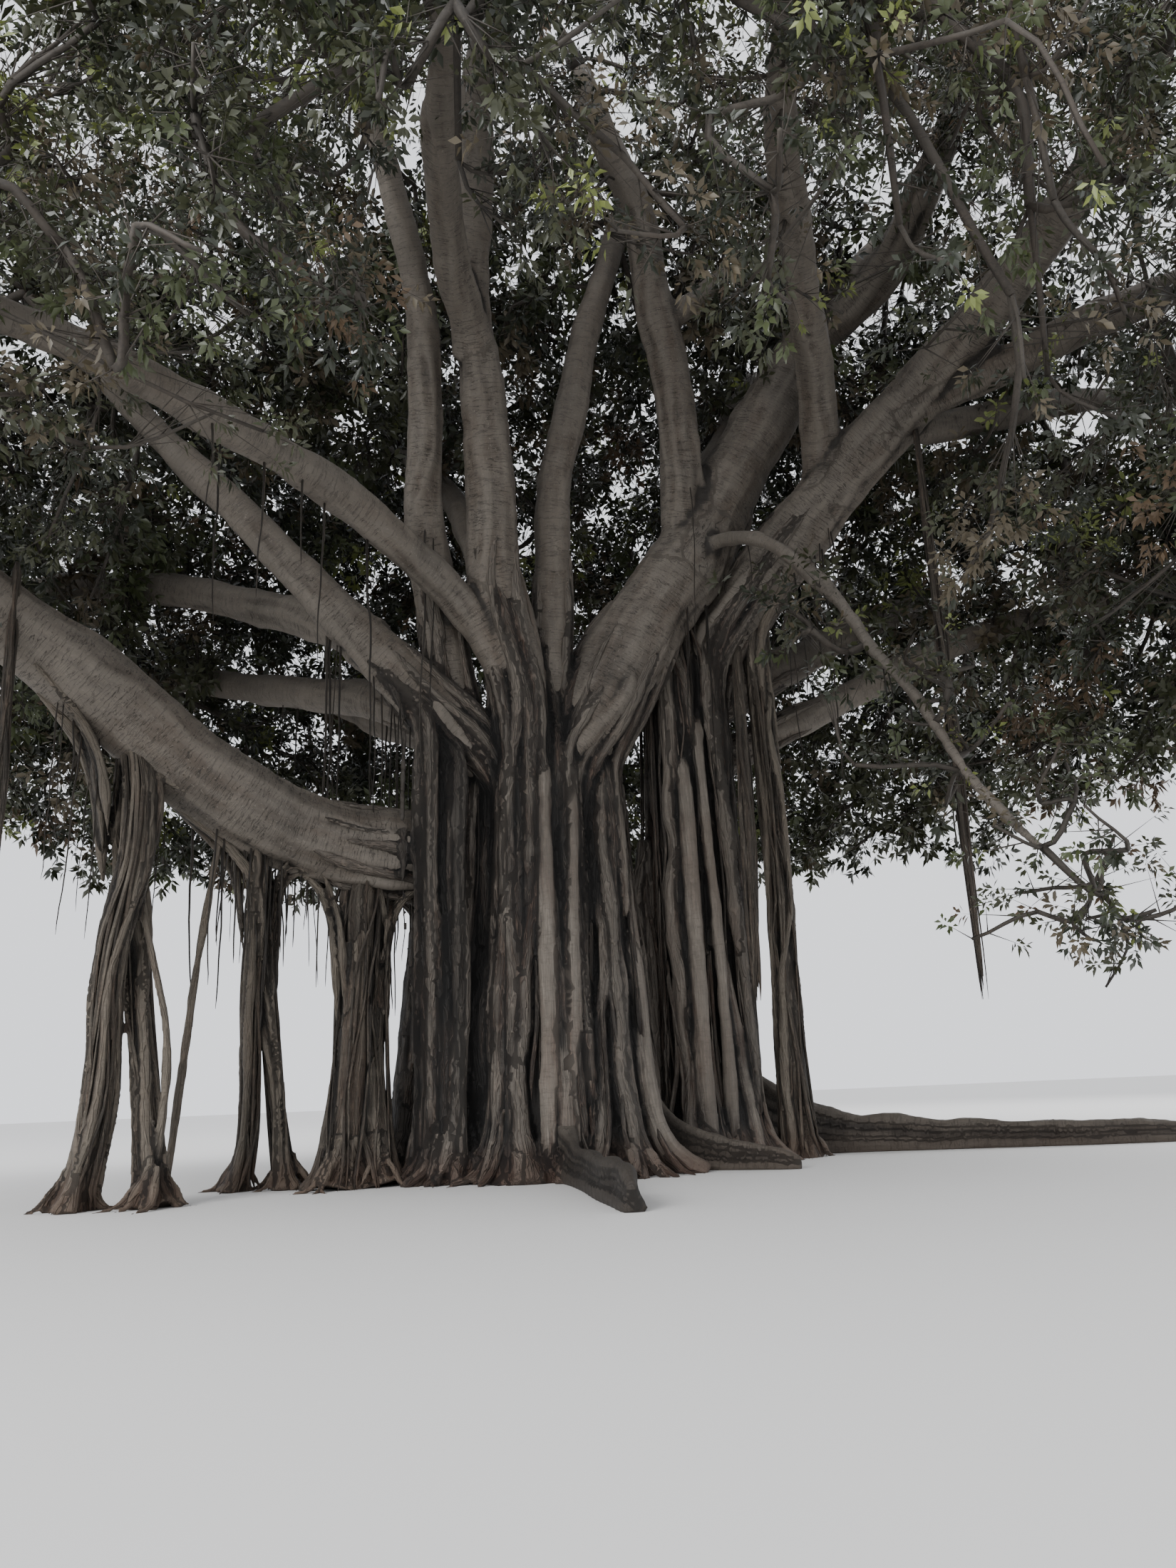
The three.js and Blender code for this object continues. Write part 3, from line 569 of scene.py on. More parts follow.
boughKeys = ("from", "heading", "rise", "turn", "lift", "length", "radius", "tip", "taper")
boughRows = {  # from a place, or a parent and the share along it; turn and lift in two halves
    "main_right": ((-0.5, -0.9, 8.7), 10, 57, (-6, -24), (2, 0), 13.6, 1.12, 0.62, 0.6),
    "low_left": ((-1.7, -0.5, 7.1), 205, -14, (12, 14), (52, -28), 16, 0.98, 0.3, 0.4),
    "left": ((-1.1, -1.1, 8.3), 192, 42, (12, 8), (2, -4), 14, 0.85, 0.24, 1.3),
    "front_stem": ((-1.0, -1.6, 8.6), 222, 79, (42, 26), (-8, -32), 16, 0.66, 0.25, 0.6),
    "middle_stem": ((-0.5, -1.0, 8.9), 255, 86, (75, 70), (-8, -6), 15.6, 0.48, 0.22, 0.5),
    "left_stem": ((-2.3, -0.9, 8.5), 225, 72, (50, -35), (-2, -28), 16.2, 0.54, 0.22, 0.8),
    "left_level": ((-1.4, -0.2, 9.3), 162, 32, (-12, 2), (-13, -8), 13.5, 0.56, 0.22, 0.5),
    "right": ((2.8, 0.9, 11.2), 335, 52, (-20, -42), (-22, -24), 16.8, 0.88, 0.26, 0.7),
    "right_low": ((3.0, 2.1, 9.5), 8, 25, (-6, -14), (2, -24), 12.5, 0.46, 0.2, 0.5),
    "back_right": ((2.9, 1.8, 10.6), 24, 34, (12, 4), (-4, -18), 14, 0.56, 0.22, 0.5),
    "back_upright": ((2.6, 0.9, 11.9), 60, 46, (-4, 6), (-4, -16), 13.5, 0.52, 0.22, 0.5),
    "back": ((-0.5, 0.7, 9.2), 88, 34, (-8, 6), (-4, -20), 15, 0.6, 0.22, 0.5),
    "back_left": ((-1.8, 0.5, 8.7), 132, 36, (-4, 4), (-8, -18), 15, 0.6, 0.22, 0.5),
    "back_top": ((-0.9, 0.1, 9.3), 118, 74, (8, 8), (-12, -20), 14.5, 0.55, 0.22, 0.6),
    "left_far": (("left", 0.35), 145, 34, (13, 10), (-16, -16), 13, 0.47, 0.22, 0.5),
    "left_reaching": (("front_stem", 0.13), 214, 55, (22, -2), (-52, -14), 13.8, 0.43, 0.2, 0.35),
    "front_fork": (("front_stem", 0.6), 258, 34, (18, 4), (-30, -22), 8.4, 0.4, 0.2, 0.6),
    "top": (("main_right", 0.45), 296, 77, (-56, -5), (-9, -28), 12.2, 0.54, 0.25, 0.5),
    "upper_fork": (("main_right", 0.97), 332, 22, (-40, -25), (2, 5), 7.2, 0.54, 0.24, 0.6),
    "upper_right": (("main_right", 0.96), 10, 66, (-15, -20), (-18, -12), 4.4, 0.45, 0.22, 0.6),
    "back_high": (("main_right", 0.55), 64, 62, (-6, 6), (-4, -24), 10.5, 0.48, 0.22, 0.5),
    "right_near": (("right", 0.5), 330, 8, (-10, -8), (-6, -5), 9.4, 0.45, 0.22, 0.4),
    "right_level": (("right", 0.47), 12, 14, (2, 2), (4, -8), 7.4, 0.42, 0.22, 0.4),
    "front_right": (("right", 0.35), 258, 63, (-6, 16), (-53, -24), 12.2, 0.43, 0.2, 0.5),
    "drooping": (("main_right", 0.5), 300, -10, (10, 4), (-56, 14), 12.6, 0.21, 0.07, 0.8),
}
boughs = {"bough_" + name: dict(zip(boughKeys, row)) for name, row in boughRows.items()}
drooping = "bough_drooping"
boughShape = {"step": 0.3, "swell": 0.12, "kink": 0.17, "droopingKink": 0.34, "ridges": 5,
              "ridged": 0.4, "rootedShare": 0.74, "rootedReach": 1.8, "forkCollar": 1.35,
              "footCollar": 1.04, "stripSpacing": 0.25}
boughRelief = {"lump": 0.04, "strand": 0.014, "ring": 0.008, "hollowRounds": 14,
               "hollowDepth": 0.045, "keep": 0.62}
boughScarShape = {"spacing": 1.8, "from": 0.12, "to": 0.9, "sizes": (0.12, 0.26)}
boughGroups = {
    "boughsMainRight": ["main_right", "top", "upper_fork", "upper_right", "back_high", "drooping"],
    "boughsLeft": ["low_left", "left", "left_far", "left_level"],
    "boughsFront": ["front_stem", "middle_stem", "left_stem", "left_reaching", "front_fork"],
    "boughsRight": ["right", "right_low", "back_right", "back_upright", "right_near",
                    "right_level", "front_right"],
    "boughsBack": ["back", "back_left", "back_top"],
}
sawnStubs = {  # place along, heading, rise, length, radius
    "bough_top": (0.5, 352, 38, 2.3, 0.24), "bough_drooping": (0.36, 285, -55, 0.42, 0.15)}


def isFork(name):
    return isinstance(boughs[name]["from"][0], str)


def halves(pair, share):
    return pair[0] * min(1, 2 * share) + pair[1] * max(0, 2 * share - 1)


def walk(start, row, steps):
    # the points of a limb whose turn and lift come in two halves
    at, points = np.array(start, float), [np.array(start, float)]
    for i in range(steps):
        share = (i + 0.5) / steps
        way = towards(row["heading"] + halves(row["turn"], share),
                      row["rise"] + halves(row["lift"], share))
        at = at + way * row["length"] / steps
        points.append(at)
    return points


def boughLine(name, lines):
    bough = boughs[name]
    start = bough["from"]
    if isFork(name):
        start = onLine(lines["bough_" + start[0]], start[1])
    steps = round(bough["length"] / boughShape["step"])
    shares = np.linspace(0, 1, steps + 1)
    radii = bough["tip"] + (bough["radius"] - bough["tip"]) * (1 - shares) ** bough["taper"]
    return makeLine(walk(start, bough, steps), radii, seed=len(lines))


def livelier(name):
    # small kinks and swellings, none at the two ends; a rooted limb narrows into the trunk
    line = boughLines[name]
    along, seed = line["along"], 10 * line["seed"]
    middle = np.sin(np.pi * np.clip(along / along[-1], 0, 1)) ** 0.5
    sway = (line["normal"] * waver(along, 0.45, seed)[:, None]
            + line["binormal"] * waver(along, 0.45, seed + 1)[:, None])
    swell = 1 + boughShape["swell"] * waver(along, 0.8, seed + 2)
    if not isFork(name):
        least = boughShape["rootedShare"]
        swell = swell * (least + (1 - least) * ease(along, 0, boughShape["rootedReach"]))
    kink = boughShape["droopingKink" if name == drooping else "kink"]
    points = line["points"] + sway * (kink * middle)[:, None]
    return makeLine(points, line["radii"] * swell, line["tone"], line["seed"])


boughLines = {}
for boughName in boughs:
    boughLines[boughName] = boughLine(boughName, boughLines)
livelyLines = {name: livelier(name) for name in boughs}


def surfaceStrand(line, start, end, angle, drift, size, seed, sunk=0.88):
    # a root that creeps along a limb's surface; angle 0 is under the limb
    steps = max(5, int(abs(end - start) * line["along"][-1] / boughShape["stripSpacing"]))
    at = np.linspace(start, end, steps) * line["along"][-1]
    tangent = sampled(line, at, "tangent")
    down = unit(tangent * tangent[:, 2:] - upward)
    side = np.cross(tangent, down)
    turn = angle + drift * waver(at, 0.35, seed) + 0.3 * drift * waver(at, 1.2, seed + 7)
    out = down * np.cos(turn)[:, None] + side * np.sin(turn)[:, None]
    points = sampled(line, at) + out * (radiusOn(line, at) * sunk)[:, None]
    thick = size * (1 + 0.3 * waver(at, 0.6, seed + 1))
    return taperedEnds(makeLine(points, thick, 0.45, seed))


def collarLine(name):
    # the swelling where a limb leaves its parent
    line = livelyLines[name]
    reach = 2.6 * boughs[name]["radius"] + 0.5
    keep = line["along"] < reach
    collar = boughShape["forkCollar" if isFork(name) else "footCollar"]
    radii = line["radii"][keep] * (collar - (collar - 0.8) * (line["along"][keep] / reach) ** 0.7)
    return makeLine(line["points"][keep], radii, 0.4, line["seed"])


def plungingBase(name):
    # the limb's foot bends down inside the trunk
    line = livelyLines[name]
    points, way = [line["points"][0]], -line["tangent"][0]
    for _ in range(9):
        way = unit(way * 0.7 - (0, 0, 0.3))
        points.append(points[-1] + way * 0.3)
    return makeLine(points, line["radii"][0] * np.linspace(1, 0.45, 10), 0.4, line["seed"])


def boughScars(names, seed):
    random = np.random.default_rng(seed)
    shape, scars = boughScarShape, []
    for name in names:
        line = livelyLines[name]
        count = int(line["along"][-1] / shape["spacing"])
        for share in random.uniform(shape["from"], shape["to"], count):
            radius = radiusOn(line, share * line["along"][-1])
            aside = unit(random.normal(size=3)) * radius * 0.95
            scars.append((onLine(line, share) + aside,
                          random.uniform(*shape["sizes"]) * min(1, radius * 2)))
    return scars


def ridgeLines(name, number, seed):
    # strands that run out from a thick limb's base
    line, start = livelyLines[name], 0.1 if isFork(name) else 0.02
    lines = []
    for k in range(boughShape["ridges"]):
        end = start + 0.2 + 0.5 * abs(math.sin(k * 2.1 + number))
        angle = (k - 2) * 0.75 + 0.4 * math.sin(number + k)
        size = line["radii"][0] * (0.16 + 0.1 * abs(math.cos(k * 1.3 + number)))
        lines.append(surfaceStrand(line, start, min(end, 0.92), angle, 0.9, size,
                                   seed * 40 + number * 7 + k))
    return lines


def makeBoughs(name, names, seed):
    lines = [livelyLines[key] for key in names]
    made = list(lines)
    for number, key in enumerate(names):
        made.append(collarLine(key) if isFork(key) else plungingBase(key))
        if boughs[key]["radius"] >= boughShape["ridged"]:
            made += ridgeLines(key, number, seed)
    for key in names:
        if key in sawnStubs:
            share, heading, rise, length, radius = sawnStubs[key]
            root = onLine(livelyLines[key], share)
            points = np.linspace(root, root + towards(heading, rise) * length, 8)
            made.append(makeLine(points, np.linspace(1.25, 1, 8) * radius))
    piece = lineObject(name, made, 12)
    fuse(piece, 0.075)
    dressBark(piece, lines, boughRelief, seed, boughScars(names, seed))
    finishPiece(piece, "boughBark", names)


for groupSeed, (groupName, shorts) in enumerate(boughGroups.items(), start=1):
    makeBoughs(groupName, ["bough_" + short for short in shorts], groupSeed)
print("boughs made")

# trunk: fused root columns, each wrapped in roots that run down it

columns = [  # foot, neck, foot and neck radius, tone (0 brown and darkened with painted shade, 1 pale and smooth)
    ((-1.2, 0.1), (-1.1, -0.4, 9.9), 2.15, 1.25, 0.3),
    # the two left columns have the lowest tones: painted shade, for they stand deep in shade
    ((-3.35, -0.6), (-2.75, -0.5, 8.8), 0.85, 0.7, 0.02),
    ((-2.5, -1.6), (-2.05, -1.2, 9.2), 0.7, 0.6, 0.05),
    ((-1.35, -2.05), (-1.1, -1.6, 9.8), 0.62, 0.62, 0.45),
    ((-0.45, -2.15), (-0.6, -1.4, 10.2), 0.55, 0.55, 0.7),
    ((0.5, -1.75), (0.5, -0.9, 9.8), 0.95, 0.35, 0.35),
    ((0.75, -0.2), (0.4, -0.2, 9.9), 0.8, 0.7, 0.3),
    ((-2.8, 1.2), (-2.3, 0.5, 9.0), 1.0, 0.75, 0.3),
    ((-0.9, 2.1), (-0.9, 0.7, 9.8), 0.95, 0.8, 0.4),
    ((0.6, 1.6), (0.3, 0.5, 9.6), 0.9, 0.7, 0.4),
    ((1.6, 1.2), (1.7, 0.7, 7.4), 0.75, 0.35, 0.5),
    ((2.35, 0.45), (2.35, 0.1, 12.9), 0.62, 0.55, 0.75),
    ((3.2, 1.2), (2.8, 0.4, 13.2), 0.85, 0.85, 0.8),
    ((2.9, 2.3), (2.8, 0.9, 12.8), 0.8, 0.7, 0.4),
    ((2.0, 2.0), (2.3, 0.7, 12.6), 0.7, 0.6, 0.4),
]
trunkParts = {  # columns, and pale stems that stand clear on the front: foot, top, radius
    "trunkLeft": (range(0, 11), (((-0.72, -2.72), (-0.72, -1.95, 9.9), 0.19),
                                 ((-0.32, -2.74), (-0.12, -1.7, 9.3), 0.16))),
    "trunkRight": (range(10, 15), (((2.62, -0.12), (2.55, -0.42, 10.2), 0.2),
                                   ((3.2, 0.3), (2.9, -0.3, 11.5), 0.14))),
}
rightBoughs = ("bough_right", "bough_right_low", "bough_back_right", "bough_back_upright")
trunkShape = {"flare": 0.35, "flareHeight": 0.55, "toeFlare": 0.22, "toeHeight": 0.14, "core": 0.8,
              "taper": 0.7, "ropeSpacing": 0.4, "fineSpacing": 0.095, "toeSpacing": 0.36,
              "ropes": (0.07, 0.1, 0.13, 0.19), "fine": (0.022, 0.03, 0.04, 0.055, 0.07),
              "strands": 26}
trunkRelief = {"lump": 0.03, "strand": 0.024, "ring": 0.004, "hollowRounds": 22,
               "hollowDepth": 0.07, "keep": 0.6}
curtain = {"count": 20, "along": (0.09, 0.25), "sizes": (0.05, 0.07, 0.1, 0.15), "sway": 0.13,
           "heights": (0, 4, 5.8, 8.2, 9.4), "forward": (0, 0.1, 0.5, 0.5, 0)}


def toeRoot(middle, reach, turn, length, size, tone, seed, lift=0.7):
    # a root that leaves a foot, bends down and runs out along the ground
    share = np.linspace(0, 1, 14)
    bend = turn + 0.6 * waver(share * length * 2, 0.7, seed) * share
    far = reach * (0.5 + 0.5 * ease(share, 0, 0.3)) + length * share ** 1.4
    points = np.array([*middle, 0]) + ringed(bend) * far[:, None]
    points[:, 2] = lift * (1 - share) ** 3.2 + size * 0.15
    thick = size * (1.1 - 0.85 * share) * (0.4 + 0.6 * ease(share, 0, 0.25))
    return makeLine(points, thick, tone, seed)


def columnAt(column, heights):
    # a column's middle, radius and flare at each height
    foot, neck, footRadius, neckRadius, _ = column
    share = np.clip(heights / neck[2], 0, 1)
    lean = (share * share * (3 - 2 * share))[:, None]
    centre = (1 - lean) * np.array([*foot, 0]) + lean * np.array([*neck[:2], 0])
    centre[:, 2] = heights
    flare = (trunkShape["flare"] * np.exp(-heights / trunkShape["flareHeight"])
             + trunkShape["toeFlare"] * np.exp(-heights / trunkShape["toeHeight"]))
    radius = footRadius + (neckRadius - footRadius) * share ** trunkShape["taper"]
    return centre, radius * (1 - 0.6 * ease(heights, neck[2] - 1.6, neck[2] + 0.2)), flare


def besideColumn(column, points, wide):
    # True where a point lies within that share of a column's radius, and the column's middle
    centre, radius, _ = columnAt(column, np.clip(points[:, 2], 0, column[1][2]))
    away = np.hypot(*(points[:, :2] - centre[:, :2]).T)
    return (away < radius * wide) & (points[:, 2] <= column[1][2]), centre


def climbingRoot(column, turn, heights, wander, sweep, seed):
    # a root up a column's side, as the column's middle, the way out, its radius and flare
    centre, radius, flare = columnAt(column, np.maximum(heights, 0))
    centre[:, 2] = heights
    bend = wander * (waver(heights, 0.3, seed) + 0.45 * waver(heights, 1.0, seed + 3))
    angle = turn + sweep * heights / column[1][2] + bend / np.maximum(radius, 0.4)
    return centre, ringed(angle), radius, flare


def columnRopes(number, random):
    column = columns[number]
    heights = np.concatenate([np.linspace(-0.1, 1.2, 6), np.linspace(1.2, column[1][2], 26)[1:]])
    centre, radius, flare = columnAt(column, np.maximum(heights, 0))
    centre[:, 2] = heights
    lines = [makeLine(centre, radius * trunkShape["core"] + flare * 0.4, column[4], number)]
    around = int(math.pi * (column[2] + column[3]) / trunkShape["ropeSpacing"])
    for k in range(around):
        seed = number * 50 + k
        turn = fullTurn * (k + random.uniform(-0.35, 0.35)) / around
        centre, out, radius, flare = climbingRoot(column, turn, heights, 0.3,
                                                  random.normal(0, 0.35), seed)
        reach = (radius * (0.9 + 0.08 * waver(heights, 0.5, seed + 1))
                 + flare * random.uniform(0.6, 1.6))
        thick = (random.choice(trunkShape["ropes"]) * (1 + 0.6 * np.exp(-heights / 0.9))
                 * (1 + 0.3 * waver(heights, 0.7, seed + 2)))
        tone = np.clip(column[4] + random.normal(0, 0.25), 0, 1)
        lines.append(makeLine(centre + out * reach[:, None], thick, tone, seed))
    return lines


def meetsTrunk(points):
    # the first point that lies inside a column, that column and its middle there
    found = None
    for column in columns:
        inside, centre = besideColumn(column, points, 0.97)
        first = inside.argmax()
        if inside.any() and (found is None or first < found[0]):
            found = first, column, centre[first]
    return found


def fallingStrands(name, random):
    # roots that run in along a bough, meet the trunk and go on down it
    count = round(trunkShape["strands"] * boughs[name]["radius"] ** 0.7)
    line, lines = livelyLines[name], []
    for k in range(count):
        seed = 900 + 13 * line["seed"] + k
        around = (k + random.uniform(-0.35, 0.35)) / count * fullTurn - math.pi
        strand = surfaceStrand(line, 0.005, random.uniform(0.13, 0.36), around, 0.35, 0.1, seed,
                               0.97)["points"]
        size, fall = random.uniform(0.06, 0.16), random.uniform(3, 11)
        tone = random.uniform(0.2, 0.9)
        below = strand[0] - np.arange(1, 11)[:, None] * (0, 0, 0.25)
        points = np.concatenate([strand[::-1], below])
        found = meetsTrunk(points)
        if found is None or found[0] < 2:
            continue
        first, column, middle = found
        inner = points[first - 1]
        heights = np.linspace(inner[2] - 0.4, max(inner[2] - fall, 0), 24)
        turn = math.atan2(inner[1] - middle[1], inner[0] - middle[0])
        centre, out, radius, flare = climbingRoot(column, turn, heights, 0.25, 0, seed)
        points = relaxed(np.concatenate(
            [points[:first], centre + out * (radius * 1.03 + flare)[:, None]]), 8)
        thick = size * (1 + 0.2 * waver(np.arange(len(points)), 0.3, seed))
        lines.append(taperedEnds(makeLine(points, thick, tone, seed), 0.9))
    return lines


def clearShare(column, points):
    # the share of the points that no other column covers
    covered = [besideColumn(other, points, 0.93)[0] for other in columns if other is not column]
    return 1 - np.any(covered, axis=0).mean()


def curtainRoots(random):
    # roots that drop from the left bough past the front of the low one
    lines = []
    for k in range(curtain["count"]):
        share = random.uniform(*curtain["along"])
        strand = surfaceStrand(livelyLines["bough_left"], share, share + random.uniform(0.04, 0.16),
                               random.uniform(0.3, 1.1), 0.3, 0.1, 7150 + k, 0.97)["points"][::-1]
        top = strand[-1]
        down = np.linspace(0.03, 1, 34)
        foot = np.array([top[0] * 0.7 - 0.95, -1.95 - 0.5 * (top[0] + 3.4), 0])
        points = top + (foot - top) * down[:, None]
        clear = np.interp(points[:, 2], curtain["heights"], curtain["forward"])
        points[:, 0] += curtain["sway"] * waver(down * top[2], 0.4, 7000 + k)
        points[:, 1] += curtain["sway"] * waver(down * top[2], 0.5, 7050 + k) - clear
        points = relaxed(np.concatenate([strand, points]), 6)
        place = np.linspace(0, 1, len(points))
        thick = random.choice(curtain["sizes"]) * (1 + 0.25 * waver(place * top[2], 0.7, 7100 + k))
        thick = thick * (1 + 0.8 * np.exp(-(1 - place) * 14)) * (0.3 + 0.7 * ease(place, 0, 0.12))
        # a low tone, which darkens the curtain with painted shade
        lines.append(makeLine(points, thick, random.uniform(0.05, 0.4), 7000 + k))
    return lines


def columnToes(column, random):
    toes = []
    for k in range(int(fullTurn * column[2] / trunkShape["toeSpacing"])):
        turn, size = random.uniform(0, fullTurn), random.uniform(0.05, 0.13)
        toe = toeRoot(column[0], column[2] + 0.12, turn, random.uniform(0.3, 1.3), size, column[4],
                      6000 + k, 0.9)
        if clearShare(column, toe["points"]) > 0.8:
            toes.append(toe)
    return toes


def smoothStem(foot, top, radius):
    # a pale stem that stands clear on the trunk and ends inside the limbs
    share = np.linspace(0, 1, 24)
    points = np.array([*foot, 0]) + (np.array(top) - [*foot, 0]) * share[:, None]
    head = ease(share, 0.84, 1)
    points[:, 0] += 0.05 * waver(share * 9, 0.6, int(radius * 100))
    points[:, 1] += 0.8 * head - 0.16 * np.sin(np.pi * share)
    thick = radius * (1 + 0.9 * np.exp(-share * 22)) * (1 + 0.08 * waver(share * 9, 0.7, 5))
    fade = ease(share, 0, 0.12) * (1 - 0.5 * ease(share, 0.7, 0.95))
    return makeLine(points, thick * (1 - 0.7 * head), 0.5 + 0.7 * fade, 5)


def makeTrunk():
    random = np.random.default_rng(4)
    for name, (numbers, stems) in trunkParts.items():
        right = name == "trunkRight"
        own = [key for key in boughs if not isFork(key) and (key in rightBoughs) == right]
        lines = [line for number in numbers for line in columnRopes(number, random)]
        for number in numbers:
            lines += columnToes(columns[number], random)
        if not right:
            lines += curtainRoots(random)
        for key in own:
            lines += fallingStrands(key, random)
        lines += [smoothStem(*stem) for stem in stems] + [collarLine(key) for key in own]
        piece = lineObject(name, lines)
        fuse(piece, 0.07, 1)
        dressBark(piece, lines, trunkRelief, 31 + len(numbers))
        finishPiece(piece, "trunkBark", ["trunk"])


def makeFineTrunkRoots():
    # threads and cords over the columns, crossing in long meshes
    random = np.random.default_rng(17)
    roots = []
    for number, column in enumerate(columns):
        top = column[1][2]
        for k in range(int(math.pi * (column[2] + column[3]) / trunkShape["fineSpacing"])):
            seed = 2000 + number * 80 + k
            low, high = sorted(random.uniform(-0.35, 1.2, 2))
            heights = np.linspace(max(low, -0.02) * top, min(high + 0.25, 1) * top, 30)
            sweep = random.choice([-1, 1]) * random.uniform(0.05, 0.9)
            turn = random.uniform(0, fullTurn)
            centre, out, radius, flare = climbingRoot(column, turn, heights, 0.24, sweep, seed)
            size = random.choice(trunkShape["fine"])
            reach = (radius * random.uniform(0.93, 1.0) + flare * random.uniform(0.8, 1.7)
                     + size * 0.3)
            points = centre + out * reach[:, None]
            if clearShare(column, points) < 0.55:
                continue
            thick = (size * (1 + 0.3 * waver(heights, 0.8, seed + 2))
                     * (1 + 0.5 * np.exp(-heights / 0.7)))
            tone = np.clip(column[4] + random.normal(0.1, 0.25), 0, 1)
            roots.append((taperedEnds(makeLine(points, thick, tone, seed)), centre))
    fineRoots("trunkFineRoots", roots, "trunkBark", ["trunk"])


makeTrunk()
makeFineTrunkRoots()
print("trunk made")

# pillar roots

pillarKeys = ("foot", "top", "under", "strands", "strand", "wind", "turns", "footRadius", "laces",
              "fine", "tone", "uneven")
pillarRows = {
    "laced": ((-8.2, -4.8), (-8.3, -4.9, 9.6), "bough_low_left", 2, 0.22, 0.36, 0.4, 0.7, 16, 34,
              0.5, 1),
    "slim_pair": ((-6.55, -1.7), (-6.6, -3.0, 8.1), "bough_low_left", 2, 0.17, 0.24, 0.3, 0.52, 10,
                  22, 0.3, 0.7),
    "stout": ((-4.7, -2.0), (-4.8, -2.0, 6.8), "bough_low_left", 3, 0.36, 0.24, 0.15, 0.86, 9, 40,
              0.5, 0.35),
    "right": ((4.85, 1.4), (4.9, 0.1, 13.4), "bough_right", 1, 0.27, 0, 0, 0.44, 5, 26, 0.35, 0.3),
}
pillars = {"pillar_" + name: dict(zip(pillarKeys, row)) for name, row in pillarRows.items()}
pillarShape = {"steps": 44, "flare": 7, "spread": 0.9, "gather": 9, "toeFlare": 0.16,
               "toeHeight": 0.14, "voxel": 0.045, "fanReach": 0.14, "fans": 9, "toes": 6,
               "threads": (0.02, 0.03, 0.045), "shortest": 12}
pillarRelief = {"lump": 0.02, "strand": 0.018, "ring": 0.003, "hollowRounds": 16,
                "hollowDepth": 0.04, "keep": 0.55}
slenderStems = [  # thin roots that stand beside the laced pillar: radius and way up
    (0.075, ((-7.95, -4.85, 0), (-7.55, -4.85, 0.75), (-7.5, -4.85, 2.9), (-7.8, -4.85, 3.9),
             (-8.35, -4.85, 5.9))),
    (0.085, ((-7.9, -3.6, 0), (-7.75, -3.6, 1.6), (-7.45, -3.8, 4.6), (-7.0, -3.5, 8.8))),
]


def headOf(pillar):
    # the bough above and the number of its point over the pillar
    bough = livelyLines[pillar["under"]]
    return bough, np.linalg.norm(bough["points"] - pillar["top"], axis=1).argmin()


def pillarAxis(pillar):
    # from the foot to the middle of the bough above
    bough, spot = headOf(pillar)
    foot, share = np.array([*pillar["foot"], 0]), np.linspace(0, 1, pillarShape["steps"])
    return foot + (bough["points"][spot] - (0, 0, 0.1) - foot) * share[:, None], share


def pillarLines(name, random):
    # strands, laces and toes; and the fine roots, each with the strand it lies on
    pillar, shape = pillars[name], pillarShape
    middle, share = pillarAxis(pillar)
    height = share * middle[-1, 2]
    spread = 1 + shape["spread"] * np.exp(-share * shape["gather"])
    bulk = pillar["footRadius"] / (pillar["strand"] + pillar["wind"]) - 1
    radius = (pillar["strand"] * (1 + bulk * np.exp(-share * shape["flare"]))
              + shape["toeFlare"] * np.exp(-height / shape["toeHeight"]))
    lines, fine, cores = [], [], []
    for strand in range(pillar["strands"]):
        angle = fullTurn * (pillar["turns"] * share + strand / pillar["strands"])
        angle = angle + pillar["uneven"] * waver(height, 0.3, 40 + strand)
        wind = (pillar["wind"] * spread * (1 + 0.3 * waver(height, 0.4, 50 + strand))
                * (1 - 0.7 * ease(share, 0.82, 0.97)))
        cores.append(middle + ringed(angle) * wind[:, None])
        thick = radius * 0.8 * (1 + 0.2 * waver(height, 0.6, 60 + strand))
        lines.append(makeLine(cores[-1], thick, pillar["tone"], strand))

    def rootOn(core, size, sweep, seed):
        angle = (random.uniform(0, 6.28) + random.uniform(-sweep, sweep) * share
                 + waver(height, 0.5, seed))
        reach = radius * (0.97 + 0.18 * waver(height, 0.6, seed + 1))
        thick = size * (1 + 0.5 * np.exp(-share * 16)) * (1 + 0.25 * waver(height, 0.9, seed + 2))
        tone = np.clip(pillar["tone"] + random.normal(0.1, 0.25), 0, 1)
        return makeLine(core + ringed(angle) * reach[:, None], thick, tone, seed)

    for k in range(pillar["laces"]):
        lines.append(rootOn(cores[k % len(cores)], random.uniform(0.045, 0.12), 3.2,
                            300 + k + 20 * len(name)))
    for k in range(pillar["fine"]):
        core = cores[k % len(cores)]
        line = rootOn(core, random.choice(shape["threads"]), 1.8, 400 + k + 50 * len(name))
        first, last = 0, len(share)
        if random.random() >= 0.6:
            first, last = sorted(random.integers(0, len(share), 2))
        if last - first < shape["shortest"]:
            first, last = 0, len(share)
        line = makeLine(line["points"][first:last], line["radii"][first:last], line["tone"],
                        line["seed"])
        fine.append((taperedEnds(line), core[first:last]))
    for k, core in enumerate(cores * shape["toes"]):
        turn, size = random.uniform(0, fullTurn), random.uniform(0.045, 0.1)
        lines.append(toeRoot(core[0, :2], radius[0] * 0.75, turn, random.uniform(0.25, 0.8), size,
                             pillar["tone"], 470 + k))
    return lines, fine


